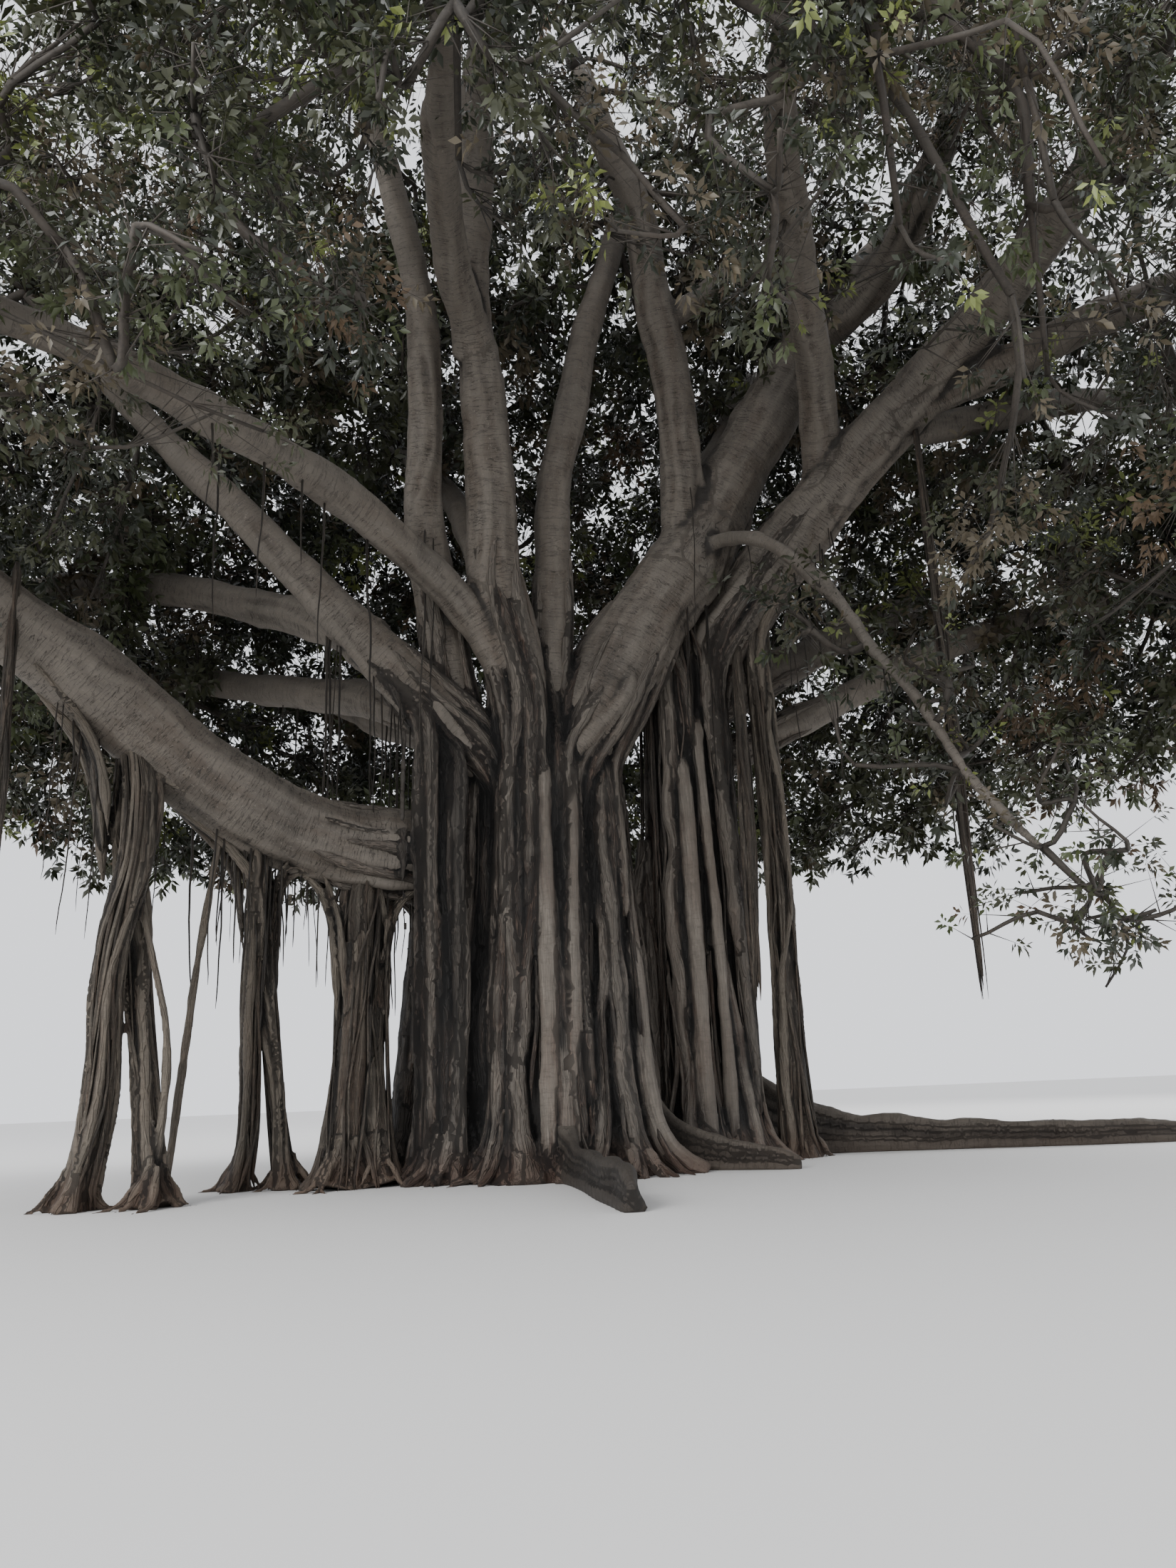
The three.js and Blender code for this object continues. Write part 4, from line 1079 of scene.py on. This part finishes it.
def fanLines(name, random):
    # roots that climb a pillar's head and spread along the underside of its bough
    pillar = pillars[name]
    bough, spot = headOf(pillar)
    middle, _ = pillarAxis(pillar)
    byHeight = {"along": middle[:, 2], "points": middle}
    head = spot / (len(bough["points"]) - 1)
    along = bough["tangent"][spot] * levelOnly
    full = pillar["strand"] + pillar["wind"]
    lines = []
    for k in range(pillarShape["fans"]):
        seed = 700 + k + 30 * len(name)
        way = 1 if k % 2 else -1
        end = np.clip(head + way * pillarShape["fanReach"] * random.uniform(0.4, 1), 0.03, 0.95)
        strand = surfaceStrand(bough, head + way * 0.03, end, random.uniform(-0.8, 0.8), 0.6,
                               random.uniform(0.07, 0.14), seed, 0.97)
        side = unit(way * along + random.normal(0, 0.5, 3) * levelOnly)
        under = strand["points"][0][2] - 0.2
        heights = np.linspace(under - random.uniform(1.2, 3), under - 0.25, 8)
        fall = sampled(byHeight, heights) + side * (full * np.linspace(0.75, 1.05, 8))[:, None]
        points = relaxed(np.concatenate([fall, strand["points"][1:]]), 6)
        lines.append(taperedEnds(makeLine(points, strand["radii"].max(), 0.5, seed), 1))
    return lines


def slenderLines():
    lines, share = [], np.linspace(0, 1, 40)
    for number, (radius, corners) in enumerate(slenderStems):
        corners = {"along": np.linspace(0, 1, len(corners)), "points": np.array(corners, float)}
        thick = (radius * (1 + 0.9 * np.exp(-share * 26))
                 * (1 + 0.15 * waver(share * 9, 1, number)))
        lines.append(makeLine(relaxed(sampled(corners, share), 24), thick, 0.5, 780 + number))
    return lines


def makePillars():
    random = np.random.default_rng(8)
    for name in pillars:
        lines, fine = pillarLines(name, random)
        lines += fanLines(name, random)
        if name == "pillar_laced":
            lines += slenderLines()
        piece = lineObject(name.replace("pillar", "standing"), lines)
        fuse(piece, pillarShape["voxel"], 1)
        dressBark(piece, lines, pillarRelief, 60)
        finishPiece(piece, "rootBark", [name])
        fineRoots(name.replace("pillar", "threads"), fine, "rootBark", [name])


makePillars()
print("pillar roots made")

# hanging roots: bundles of thin roots, and single strings below the boughs

hangingRoots = {  # top, end, radius, count, thickness
    "hanging_root_right": ((8.25, -2.8, 16.4), (8.0, -2.9, 3.1), 0.17, 16, 0.042),
    "hanging_root_bundle": ((4.1, -0.1, 12.4), (3.75, -0.9, 3.4), 0.25, 50, 0.045),
    "hanging_root_left": ((-10.1, -6.9, 11.4), (-10.0, -6.7, 4.0), 0.17, 14, 0.042),
}
rootStrings = [  # bough, first and last place along it, count, shortest and longest
    ("low_left", 0.12, 0.42, 30, 0.8, 4.6), ("low_left", 0.28, 0.4, 44, 0.6, 3.4),
    ("low_left", 0.42, 0.8, 16, 1, 5.5), ("left", 0.18, 0.5, 12, 3.5, 8.5),
    ("left_stem", 0.2, 0.5, 6, 4, 9), ("left_reaching", 0.3, 0.7, 6, 2, 6),
    ("main_right", 0.3, 0.62, 9, 2.5, 7), ("right", 0.1, 0.4, 10, 2, 7),
    ("drooping", 0.15, 0.7, 6, 0.7, 3), ("left_level", 0.2, 0.6, 5, 1.5, 4),
    ("top", 0.1, 0.35, 4, 3, 7),
]
stringRadius = (0.012, 0.031)


def makeHangingRoots():
    random = np.random.default_rng(12)
    for name, (top, end, radius, count, size) in hangingRoots.items():
        roots = []
        for k in range(count):
            seed = 500 + k
            reach = 1 if k < 3 else random.uniform(0.72, 1)
            share = np.linspace(0, reach, 36)
            middle = np.array(top) + (np.array(end) - top) * share[:, None]
            belly = radius * (0.4 + 0.6 * np.sin(np.pi * np.clip(share / 1.15, 0, 1)))
            angle = random.uniform(0, 6.28) + 1.6 * waver(share * 13, 0.25, seed)
            off = (random.uniform(0.15, 0.85) * (0.75 + 0.4 * waver(share * 13, 0.4, seed + 1))
                   * belly)
            thick = (size * random.uniform(0.5, 1.3)
                     * (0.35 + 0.65 * np.clip((reach - share) * 5, 0, 1)))
            line = makeLine(middle + ringed(angle) * off[:, None], thick,
                            random.uniform(0.1, 0.6), seed)
            roots.append((line, middle))
        fineRoots(name.replace("hanging_root", "hangingRoots"), roots, "rootBark",
                  [name], 6, 36)


def makeRootStrings():
    random = np.random.default_rng(33)
    roots, share = [], np.linspace(0, 1, 20)
    for name, first, last, count, shortest, longest in rootStrings:
        bough = livelyLines["bough_" + name]
        for _ in range(count):
            seed = 8000 + len(roots)
            start = (onLine(bough, random.uniform(first, last))
                     + random.normal(0, 0.12, 3) * levelOnly)
            length = min(random.uniform(shortest, longest), start[2] - 0.3)
            points = start - np.array([0, 0, length]) * share[:, None]
            sway = 0.2 * share ** 0.5
            points[:, 0] += sway * (waver(share * length, 0.35, seed)
                                    + 0.25 * waver(share * length, 1.8, seed + 1))
            points[:, 1] += sway * waver(share * length, 0.35, seed + 2)
            thick = random.uniform(*stringRadius) * (1.15 - 0.7 * share)
            line = makeLine(points, thick, random.uniform(0.5, 1.2), seed)
            roots.append((line, points - (0, 1, 0)))
    fineRoots("rootStrings", roots, "rootBark", [], 4, 20)


makeHangingRoots()
makeRootStrings()
print("hanging roots made")

# surface roots: walls that sink and snake away from the trunk

surfaceRoots = {
    "root_front": {"start": (-0.7, -1.9), "heading": 287, "turn": (-10, 4), "length": 7.2,
                   # a low tone: the front root is darkened with painted shade
                   "tone": 0.02, "height": (1.2, 0.62, 0.56), "width": (0.8, 0.4, 0.38),
                   "sway": 0.16},
    "root_right": {"start": (3.0, 2.4), "heading": 9, "turn": (-22, 10), "length": 11.2,
                   "tone": 0.75, "height": (2.8, 0.82, 0.4), "width": (0.8, 0.5, 0.4),
                   "sway": 0.14},
    "root_right_near": {"start": (0.9, -0.1), "heading": 318, "turn": (10, 14), "length": 3.9,
                        "tone": 0.5, "height": (2.0, 0.95, 0.3), "width": (0.7, 0.45, 0.3),
                        "sway": 0.06},
}
wallLevels = ((0.86, 0, 0.5), (0.68, 0, 0.42), (0.5, 0, 0.46), (0.3, 0, 0.62),  # lift, aside, size
              (0.12, -0.3, 0.7), (0.12, 0.3, 0.7))
wallShape = {"step": 0.15, "stages": (0, 0.5, 1), "flare": 1.1, "flareReach": 0.5, "voxel": 0.055}
wallRelief = {"lump": 0.05, "strand": 0.024, "ring": 0.006, "hollowRounds": 14,
              "hollowDepth": 0.045, "keep": 0.6}


def wallWalk(root, steps):
    # the wall's middle on the ground, and the way to its left
    at, middle, sides = np.array([*root["start"], 0.0]), [], []
    for i in range(steps + 1):
        heading = root["heading"] + halves(root["turn"], i / steps)
        middle.append(at)
        sides.append(towards(heading + 90, 0))
        at = at + towards(heading, 0) * root["length"] / steps
    return np.array(middle), np.array(sides)


def makeSurfaceRoot(number, name):
    root = surfaceRoots[name]
    steps = round(root["length"] / wallShape["step"])
    middle, sides = wallWalk(root, steps)
    count = np.arange(steps + 1)
    place = count * wallShape["step"]
    share = np.linspace(0, 1, steps + 1) ** 0.6
    height = (np.interp(share, wallShape["stages"], root["height"])
              + wallShape["flare"] * np.exp(-place / wallShape["flareReach"]))
    width = np.interp(share, wallShape["stages"], root["width"]) / 2
    sway = root["sway"] * waver(place, 0.8, 80 + number)
    tone = root["tone"] + 0.4 * np.exp(-place / 1.2)
    edge = 1 + 0.12 * waver(place, 1.1, 90 + number)
    end = 1 - 0.35 * ease(count, steps - 3, steps + 1)
    lines = []
    for level, (lift, spread, size) in enumerate(wallLevels):
        aside = (sway * (0.4 + lift) + width * spread)[:, None] * sides
        points = middle + aside + (height * lift * edge * end)[:, None] * upward
        radius = np.minimum(width * size * end, height * 0.3) + 0.03
        lines.append(makeLine(points, radius, tone, 95 + level))
    floorLine = makeLine(middle + np.array([0, 0, 0.02]), width * 0.95 * end, tone, 99)
    piece = lineObject(name.replace("root", "groundRoot"), lines + [floorLine], 10)
    fuse(piece, wallShape["voxel"], 8)
    dressBark(piece, lines, wallRelief, 84 + number)
    finishPiece(piece, "groundBark", [name])


for rootNumber, rootName in enumerate(surfaceRoots):
    makeSurfaceRoot(rootNumber, rootName)
print("surface roots made")

# foliage: the solids' crown and branching rule, carried to finer twigs

crown = {"radius": 19, "centreHeight": 10, "dome": 17, "skirt": 9, "rimHeight": 7.8,
         "frontRimHeight": 10, "frontFrom": (6, 14), "billow": 0.1, "billowReach": 8,
         "limit": 0.935}
growth = {"coarse": ((0.84, 118), (0.7, 33)),  # share of the way out, count
          "middle": ((0.925, 800), (0.865, 700), (0.79, 560), (0.68, 330)),
          "jitter": 0.45, "stemLength": 1.1, "siteReach": 2.2, "detour": 0.3, "limbFrom": 0.42,
          "limbThick": 0.75, "pipe": 0.03, "thinnest": 0.016, "narrowing": 0.92, "bends": 5,
          "sides": 4, "rim": 0.97, "rimThick": 0.02, "inThick": 0.9}
farEndShape = {"share": 0.94, "twigs": 16, "spread": 0.8, "reach": 2.3}
droopTwigs = {"from": 0.4, "to": 1.25, "count": 64, "past": 6, "spread": 0.5, "widen": 0.4,
              "sprays": 4}
sprays = {"twigs": 21, "spread": 1.05, "twigRadius": 0.014, "shortest": 0.15, "ownColour": 0.18,
          "corners": (0, 2.094, 4.189)}
leafShapes = {  # the nearer the view, the smaller and the more; the rest are larger than life
    "near": {"length": 0.17, "width": 0.078, "round": False, "count": 12},
    "low": {"length": 0.24, "width": 0.105, "round": True, "count": 8},
    "high": {"length": 0.33, "width": 0.145, "round": False, "count": 8},
}
leafGrowth = {"spiral": 0.24, "upward": 0.35, "lift": 0.1, "sag": 0.3, "vary": 0.25,
              "sizes": (0.65, 1.15), "fold": 0.3, "stalk": 0.045, "tipSag": 0.03,
              "widest": 0.46, "roundWide": ((0.28, 0.9), (0.7, 0.86))}  # place along, share of width
openFront = {"from": -3, "slope": 1.28, "wide": 0.6, "flatAhead": 0.962, "upAhead": 0.274,
             "margin": 0.045, "before": 0.2, "gap": 0.3, "bare": 0.8, "nearFrom": -5,
             "lowFrom": 4, "lowHeight": 12, "outer": 0.85, "edges": (-0.2, 0.16)}
openShares = {True: (0.85, 0.75, 0.78), False: (0.42, 0.3, 0.3)}  # outer and inner: left to right
leafGroups = {
    "LowLeft": ["low_left", "left"],
    "FarLeft": ["left_level", "left_far", "back_left"],
    "FrontLeft": ["left_reaching", "left_stem", "front_stem", "front_fork"],
    "Top": ["top", "middle_stem", "back_high", "upper_fork"],
    "FrontRight": ["front_right", "upper_right", "right_near"],
    "Right": ["right", "right_level", "right_low"],
    "BackRight": ["back_right", "back_upright"],
    "Back": ["back", "back_top"],
}
goldenAngle = math.pi * (3 - math.sqrt(5))
crownCentre = np.array([0, 0, crown["centreHeight"]])
eye = cameraView["place"]
leafy = [name for name in boughs if name not in ("bough_main_right", drooping)]


def tipOf(name):
    last, tip = boughLines[name]["points"][-2:]
    return tip, unit(tip - last)


def outlineShare(points):
    # 1 on the crown's outline
    tall = np.where(points[:, 2] > crown["centreHeight"], crown["dome"], crown["skirt"])
    return np.sqrt((points[:, 0] ** 2 + points[:, 1] ** 2) / crown["radius"] ** 2
                   + ((points[:, 2] - crown["centreHeight"]) / tall) ** 2)


sites = np.array([tipOf(name)[0] + tipOf(name)[1] * growth["siteReach"] for name in leafy])
# the tips that reach past the rest of the crown
farEnds = np.array([tipOf(name)[0] for name in leafy])
farEnds = farEnds[outlineShare(farEnds) > farEndShape["share"]]


def nearestOf(points, places):
    # the number of the nearest place to each point, and how far it is
    away = np.linalg.norm(points[:, None] - places[None], axis=2)
    return away.argmin(1), away.min(1)


def billowed(distance):
    return 1 - crown["billow"] * np.minimum(1, distance / crown["billowReach"]) ** 2


def rimAt(points):
    front = ease(-points[:, 1], *crown["frontFrom"])
    return crown["rimHeight"] + (crown["frontRimHeight"] - crown["rimHeight"]) * front


def layerPoints(share, count, jitter, random):
    # points spread evenly over a shell of the crown
    lowest = (crown["rimHeight"] + 0.8 - crown["centreHeight"]) / crown["dome"]
    index = np.arange(count)
    up = 1 - ((index + 0.5) / count) * (1 - lowest)
    out = ringed(goldenAngle * index) * np.sqrt(1 - up * up)[:, None] + up[:, None] * upward
    outer = out * (crown["radius"], crown["radius"], crown["dome"]) * share
    _, reach = nearestOf(outer + crownCentre, sites)
    return (outer * billowed(reach)[:, None] + crownCentre
            + random.normal(0, 1, outer.shape) * jitter)


def isOpenFront(points):
    # low on the front the crown is thin, and the boughs show through it
    depth, lift = points[:, 1] - eye[1], points[:, 2] - eye[2]
    low = points[:, 2] < eye[2] + openFront["slope"] * depth
    ahead = depth * openFront["flatAhead"] + lift * openFront["upAhead"]
    return (points[:, 1] < openFront["from"]) & low & (
        np.abs(points[:, 0]) < openFront["wide"] * ahead)


def viewOf(points):
    # sideways, up and ahead as the camera looks
    pitch = math.radians(cameraView["pitch"])
    away = points - eye
    ahead = away @ (0, math.cos(pitch), math.sin(pitch))
    return away[:, 0] / ahead, away @ (0, -math.sin(pitch), math.cos(pitch)) / ahead, ahead


def limbTree():
    # the limbs in the picture: a tree of their points, how far ahead and how wide they are
    points, radii = [], []
    for name, line in livelyLines.items():
        if not name.startswith("bough_back"):
            bare = round(len(line["points"]) * openFront["bare"])
            points.append(line["points"][:bare])
            radii.append(line["radii"][:bare])
    sideways, up, ahead = viewOf(np.concatenate(points))
    tree = KDTree(len(ahead))
    for i, (x, y) in enumerate(zip(sideways, up)):
        tree.insert((x, y, 0), i)
    tree.balance()
    return tree, ahead, np.concatenate(radii) / ahead


def limbClearance(points, tree, depths, widths):
    # 0 in front of a limb, 1 clear of it
    sideways, up, ahead = viewOf(points)
    clear = np.ones(len(points))
    for i in np.flatnonzero((ahead > 2) & (points[:, 1] < 0)):
        _, number, gap = tree.find((sideways[i], up[i], 0))
        if ahead[i] < depths[number] - openFront["gap"]:
            clear[i] = ease(gap - widths[number], 0, openFront["margin"])
    return clear


def joinTwigs(stemEnd, nodes, parents, points):
    # each point joins the nearest twig already grown, as in the solids
    order = np.argsort(np.linalg.norm(points - stemEnd, axis=1))
    count = len(nodes)
    grown = np.concatenate([nodes, points[order]])
    back = np.linalg.norm(grown - stemEnd, axis=1)
    for i in range(count, len(grown)):
        cost = np.linalg.norm(grown[:i] - grown[i], axis=1) + growth["detour"] * back[:i]
        parents.append(int(cost.argmin()))
    return grown


def growMass(name, coarse, middle):
    # the nodes of one mass; the first ones lie in the bough itself
    line = (livelyLines if name == drooping else boughLines)[name]
    length = line["along"][-1]
    tip, along = tipOf(name)
    stemEnd = tip + along * growth["stemLength"]
    at = np.linspace(growth["limbFrom"], 1, max(4, int(length * 0.8))) * length
    nodes, limb = np.concatenate([sampled(line, at), stemEnd[None]]), len(at)
    parents = [-1] * limb + [limb - 1]
    for points in (coarse, middle):
        nodes = joinTwigs(stemEnd, nodes, parents, points)
    parents = np.array(parents)
    load = np.ones(len(nodes))
    for i in range(len(nodes) - 1, limb - 1, -1):
        load[parents[i]] += load[i]
    radii = np.maximum(growth["pipe"] * np.sqrt(load), growth["thinnest"])
    radii[:limb] = radiusOn(line, at) * growth["limbThick"]
    inward = np.maximum(growth["rim"] - outlineShare(nodes), 0)
    most = growth["rimThick"] + growth["inThick"] * inward
    for i in range(limb, len(nodes)):
        radii[i] = min(radii[i], radii[parents[i]] * growth["narrowing"], most[i])
    return nodes, parents, radii, limb


def curvedTwigs(nodes, parents, radii, first):
    # each twig leaves along its parent and bends towards its own end
    child = np.arange(first, len(nodes))
    parent = parents[child]
    start, end = nodes[parent][:, None], nodes[child][:, None]
    span = np.linalg.norm(end - start, axis=2, keepdims=True)
    edge = unit(end - start)
    before = np.where(parent < first, np.maximum(parent - 1, 0), parents[parent])
    lead = unit(unit(start - nodes[before][:, None] + 1e-6) + edge * 0.8) * span
    leave = unit(edge + (0, 0, 0.15)) * span
    share = np.linspace(0, 1, growth["bends"])[None, :, None]
    square, cube = share ** 2, share ** 3
    curve = ((2 * cube - 3 * square + 1) * start + (cube - 2 * square + share) * lead
             + (3 * square - 2 * cube) * end + (cube - square) * leave)
    startRadii = np.minimum(radii[parent] * 0.9, radii[child] * 1.3)
    startRadii[0] = radii[first - 1] / growth["limbThick"]
    thick = startRadii[:, None] + (radii[child] - startRadii)[:, None] * share[:, :, 0]
    return curve, thick


def repeatedFaces(count, corners, faces):
    # the same faces on each set of corners
    base = np.arange(count) * corners
    return [(base[:, None, None] + faces).reshape(-1, faces.shape[1])]


def spikes(starts, tips, radius):
    # the last twigs: three sides drawn to a point
    along = unit(tips - starts)
    side = unit(np.cross(along, crossAxis(along, 0.85)))
    other = np.cross(along, side)
    ring = [starts + (side * math.cos(turn) + other * math.sin(turn)) * radius
            for turn in sprays["corners"]]
    faces = np.array([[0, 1, 3], [1, 2, 3], [2, 0, 3], [2, 1, 0]])
    return np.stack(ring + [tips], 1).reshape(-1, 3), repeatedFaces(len(starts), 4, faces)


def rosetteLeaves(starts, tips, shape, random):
    # leaves in a spiral at each twig's end, folded along the rib
    count, rule = shape["count"], leafGrowth
    axis = np.repeat(unit(unit(tips - starts) + (0, 0, rule["upward"])), count, axis=0)
    inward = np.repeat(unit(starts - tips), count, axis=0)
    number = np.tile(np.arange(count), len(tips))
    step = (number + 0.5) / count
    root = np.repeat(tips, count, axis=0) + inward * ((1 - step) * rule["spiral"])[:, None]
    side = unit(np.cross(axis, crossAxis(axis, 0.9)))
    other = np.cross(axis, side)
    turn = number * goldenAngle + np.repeat(random.uniform(0, 6.28, len(tips)), count)
    around = side * np.cos(turn)[:, None] + other * np.sin(turn)[:, None]
    lift = (rule["lift"] + step)[:, None]
    rib = unit(around + axis * lift - (0, 0, rule["sag"])
               + random.normal(0, rule["vary"], root.shape))
    face = unit(np.cross(rib, np.cross(axis, rib)) + random.normal(0, rule["vary"], root.shape))
    wing = unit(np.cross(face, rib))
    size = random.uniform(*rule["sizes"], (len(root), 1))
    length, half = shape["length"] * size, shape["width"] / 2 * size
    lean = wing * half + face * half * rule["fold"]
    mirror = -wing * half + face * half * rule["fold"]
    start = root + rib * rule["stalk"]
    end = root + rib * (length + rule["stalk"]) - (0, 0, rule["tipSag"])
    if shape["round"]:
        (nearPlace, nearWide), (farPlace, farWide) = rule["roundWide"]
        near, far = start + rib * length * nearPlace, start + rib * length * farPlace
        corners = [start, near + lean * nearWide, far + lean * farWide, end,
                   far + mirror * farWide, near + mirror * nearWide]
        faces = np.array([[0, 3, 2, 1], [0, 5, 4, 3]])
    else:
        middle = start + rib * length * rule["widest"]
        corners = [start, middle + lean, end, middle + mirror]
        faces = np.array([[0, 2, 1], [0, 3, 2]])
    return (np.stack(corners, 1).reshape(-1, 3),
            repeatedFaces(len(root), len(corners), faces))


def crownPoints(random):
    coarse = np.concatenate([layerPoints(*layer, 0, random) for layer in growth["coarse"]])
    middle, kept = [], []
    for share, count in growth["middle"]:
        points = layerPoints(share, count, growth["jitter"], random)
        aside = points[:, 0] / (points[:, 1] - eye[1])
        zone = sum((aside > edge).astype(int) for edge in openFront["edges"])
        middle.append(points)
        kept.append(np.array(openShares[share > openFront["outer"]])[zone])
    for end in farEnds:
        count = farEndShape["twigs"]
        middle.append(end + random.normal(0, farEndShape["spread"], (count, 3)))
        kept.append(np.ones(count))
    middle, kept = np.concatenate(middle), np.concatenate(kept)
    middle = middle[(random.random(len(middle)) < kept) | ~isOpenFront(middle)]
    return [points[points[:, 2] > rimAt(points)] for points in (coarse, middle)]


def keptSprays(name, starts, tips, limbs, random):
    # True inside the crown's outline, and for most sprays only where no limb is hidden
    own = name == drooping
    beside = (nearestOf(tips, farEnds)[1] < farEndShape["reach"]) | own
    limit = billowed(nearestOf(tips, sites)[1]) * crown["limit"]
    clear = np.where(beside, 1, limbClearance(tips, *limbs))
    shown = openFront["before"] + (1 - openFront["before"]) * clear
    return (((outlineShare(tips) < limit) | beside) & (random.random(len(tips)) < shown)
            & ((tips[:, 2] > rimAt(tips) - 0.3) | own)
            & (np.linalg.norm(tips - starts, axis=1) > sprays["shortest"]))


def leafyMass(name, coarse, middle, each, limbs, random):
    # the twigs, leaves and leaf colours of one mass
    shares = np.array([row[2] for row in leafColours.values()])
    shares = shares / shares.sum()
    nodes, parents, radii, first = growMass(name, coarse, middle)
    curve, thick = curvedTwigs(nodes, parents, radii, first)
    hosts = np.repeat(np.arange(first + 1, len(nodes)), each)
    ball = unit(random.normal(size=(len(hosts), 3))) * random.random((len(hosts), 1)) ** 0.4
    tips = nodes[hosts] + ball * sprays["spread"]
    starts = curve[hosts - first, random.integers(1, growth["bends"], len(hosts))]
    keep = keptSprays(name, starts, tips, limbs, random)
    starts, tips, hosts = starts[keep], tips[keep], hosts[keep]
    spray = random.choice(len(shares), len(nodes), p=shares)
    own = random.random(len(hosts)) < sprays["ownColour"]
    colour = np.where(own, random.choice(len(shares), len(hosts), p=shares), spray[hosts])
    near = isOpenFront(tips) & (tips[:, 1] < openFront["nearFrom"])
    low = (tips[:, 1] < openFront["lowFrom"]) & (tips[:, 2] < openFront["lowHeight"])
    low = (low | isOpenFront(tips)) & ~near
    leaves, dealt = [], []
    for kind, mine in (("near", near), ("low", low), ("high", ~near & ~low)):
        leaves.append(rosetteLeaves(starts[mine], tips[mine], leafShapes[kind], random))
        dealt.append(np.repeat(colour[mine], leafShapes[kind]["count"] * 2))
    twigs = [tubes(curve, thick, growth["sides"]), spikes(starts, tips, sprays["twigRadius"])]
    return twigs, leaves, dealt


def finishMass(groupName, masses, nodes):
    twigParts, leafParts, dealt = [sum(parts, []) for parts in zip(*masses)]
    leaves, _ = meshFrom("leaves" + groupName, leafParts)
    for material in leafMaterials:
        leaves.data.materials.append(material)
    leaves.data.polygons.foreach_set("material_index", np.concatenate(dealt).astype(np.int32))
    finishPiece(leaves, None, nodes)
    twigs, points = meshFrom("twigs" + groupName, twigParts)
    setAttributes(twigs, grain=points, hollow=np.zeros(len(points)), tone=np.full(len(points), 0.3))
    finishPiece(twigs, "twigBark", nodes)


def droopPoints(random):
    # twigs from the drooping limb's middle to past its tip
    _, along = tipOf(drooping)
    share = random.uniform(droopTwigs["from"], droopTwigs["to"], droopTwigs["count"])
    past = np.maximum(share - 1, 0)[:, None] * along * droopTwigs["past"]
    points = past + onLine(livelyLines[drooping], np.minimum(share, 1))
    spread = droopTwigs["spread"] + droopTwigs["widen"] * share
    return points + random.normal(0, 1, points.shape) * spread[:, None] * (1, 1, 0.6)


def makeFoliage():
    random = np.random.default_rng(21)
    coarse, middle = crownPoints(random)
    coarseOwner, middleOwner = nearestOf(coarse, sites)[0], nearestOf(middle, sites)[0]
    limbs = limbTree()
    for groupName, shorts in leafGroups.items():
        masses = []
        for short in shorts:
            number = leafy.index("bough_" + short)
            masses.append(leafyMass(leafy[number], coarse[coarseOwner == number],
                                    middle[middleOwner == number], sprays["twigs"], limbs, random))
        finishMass(groupName, masses, ["foliage_" + short for short in shorts])
    random = np.random.default_rng(27)
    points = droopPoints(random)
    mass = leafyMass(drooping, points[:0], points, droopTwigs["sprays"], limbs, random)
    finishMass("Drooping", [mass], [])


makeFoliage()
print("foliage made")

# floor and light

softLights = (((-30, -45, 30), 25, 22000), ((35, 30, 40), 30, 16000))  # place, size, power


def addStage():
    bpy.ops.object.select_all(action="DESELECT")
    bpy.ops.mesh.primitive_plane_add(size=600, location=(0, 0, 0))
    floor = bpy.context.object
    floor.name = "floor"
    floor.data.materials.append(plainMaterial("palePaper", (0.72, 0.71, 0.69), 0.9)[0])
    world = bpy.data.worlds.new("softSky")
    world.use_nodes = True
    world.node_tree.nodes["Background"].inputs["Color"].default_value = (0.93, 0.95, 1, 1)
    world.node_tree.nodes["Background"].inputs["Strength"].default_value = 1.45
    bpy.context.scene.world = world
    for place, size, power in softLights:
        bpy.ops.object.light_add(type="AREA", location=place)
        light = bpy.context.object
        light.data.size = size
        light.data.energy = power
        aim = np.array([0, 0, 9]) - place
        light.rotation_euler = (math.acos(-aim[2] / np.linalg.norm(aim)), 0,
                                math.atan2(aim[1], aim[0]) - math.pi / 2)


addStage()
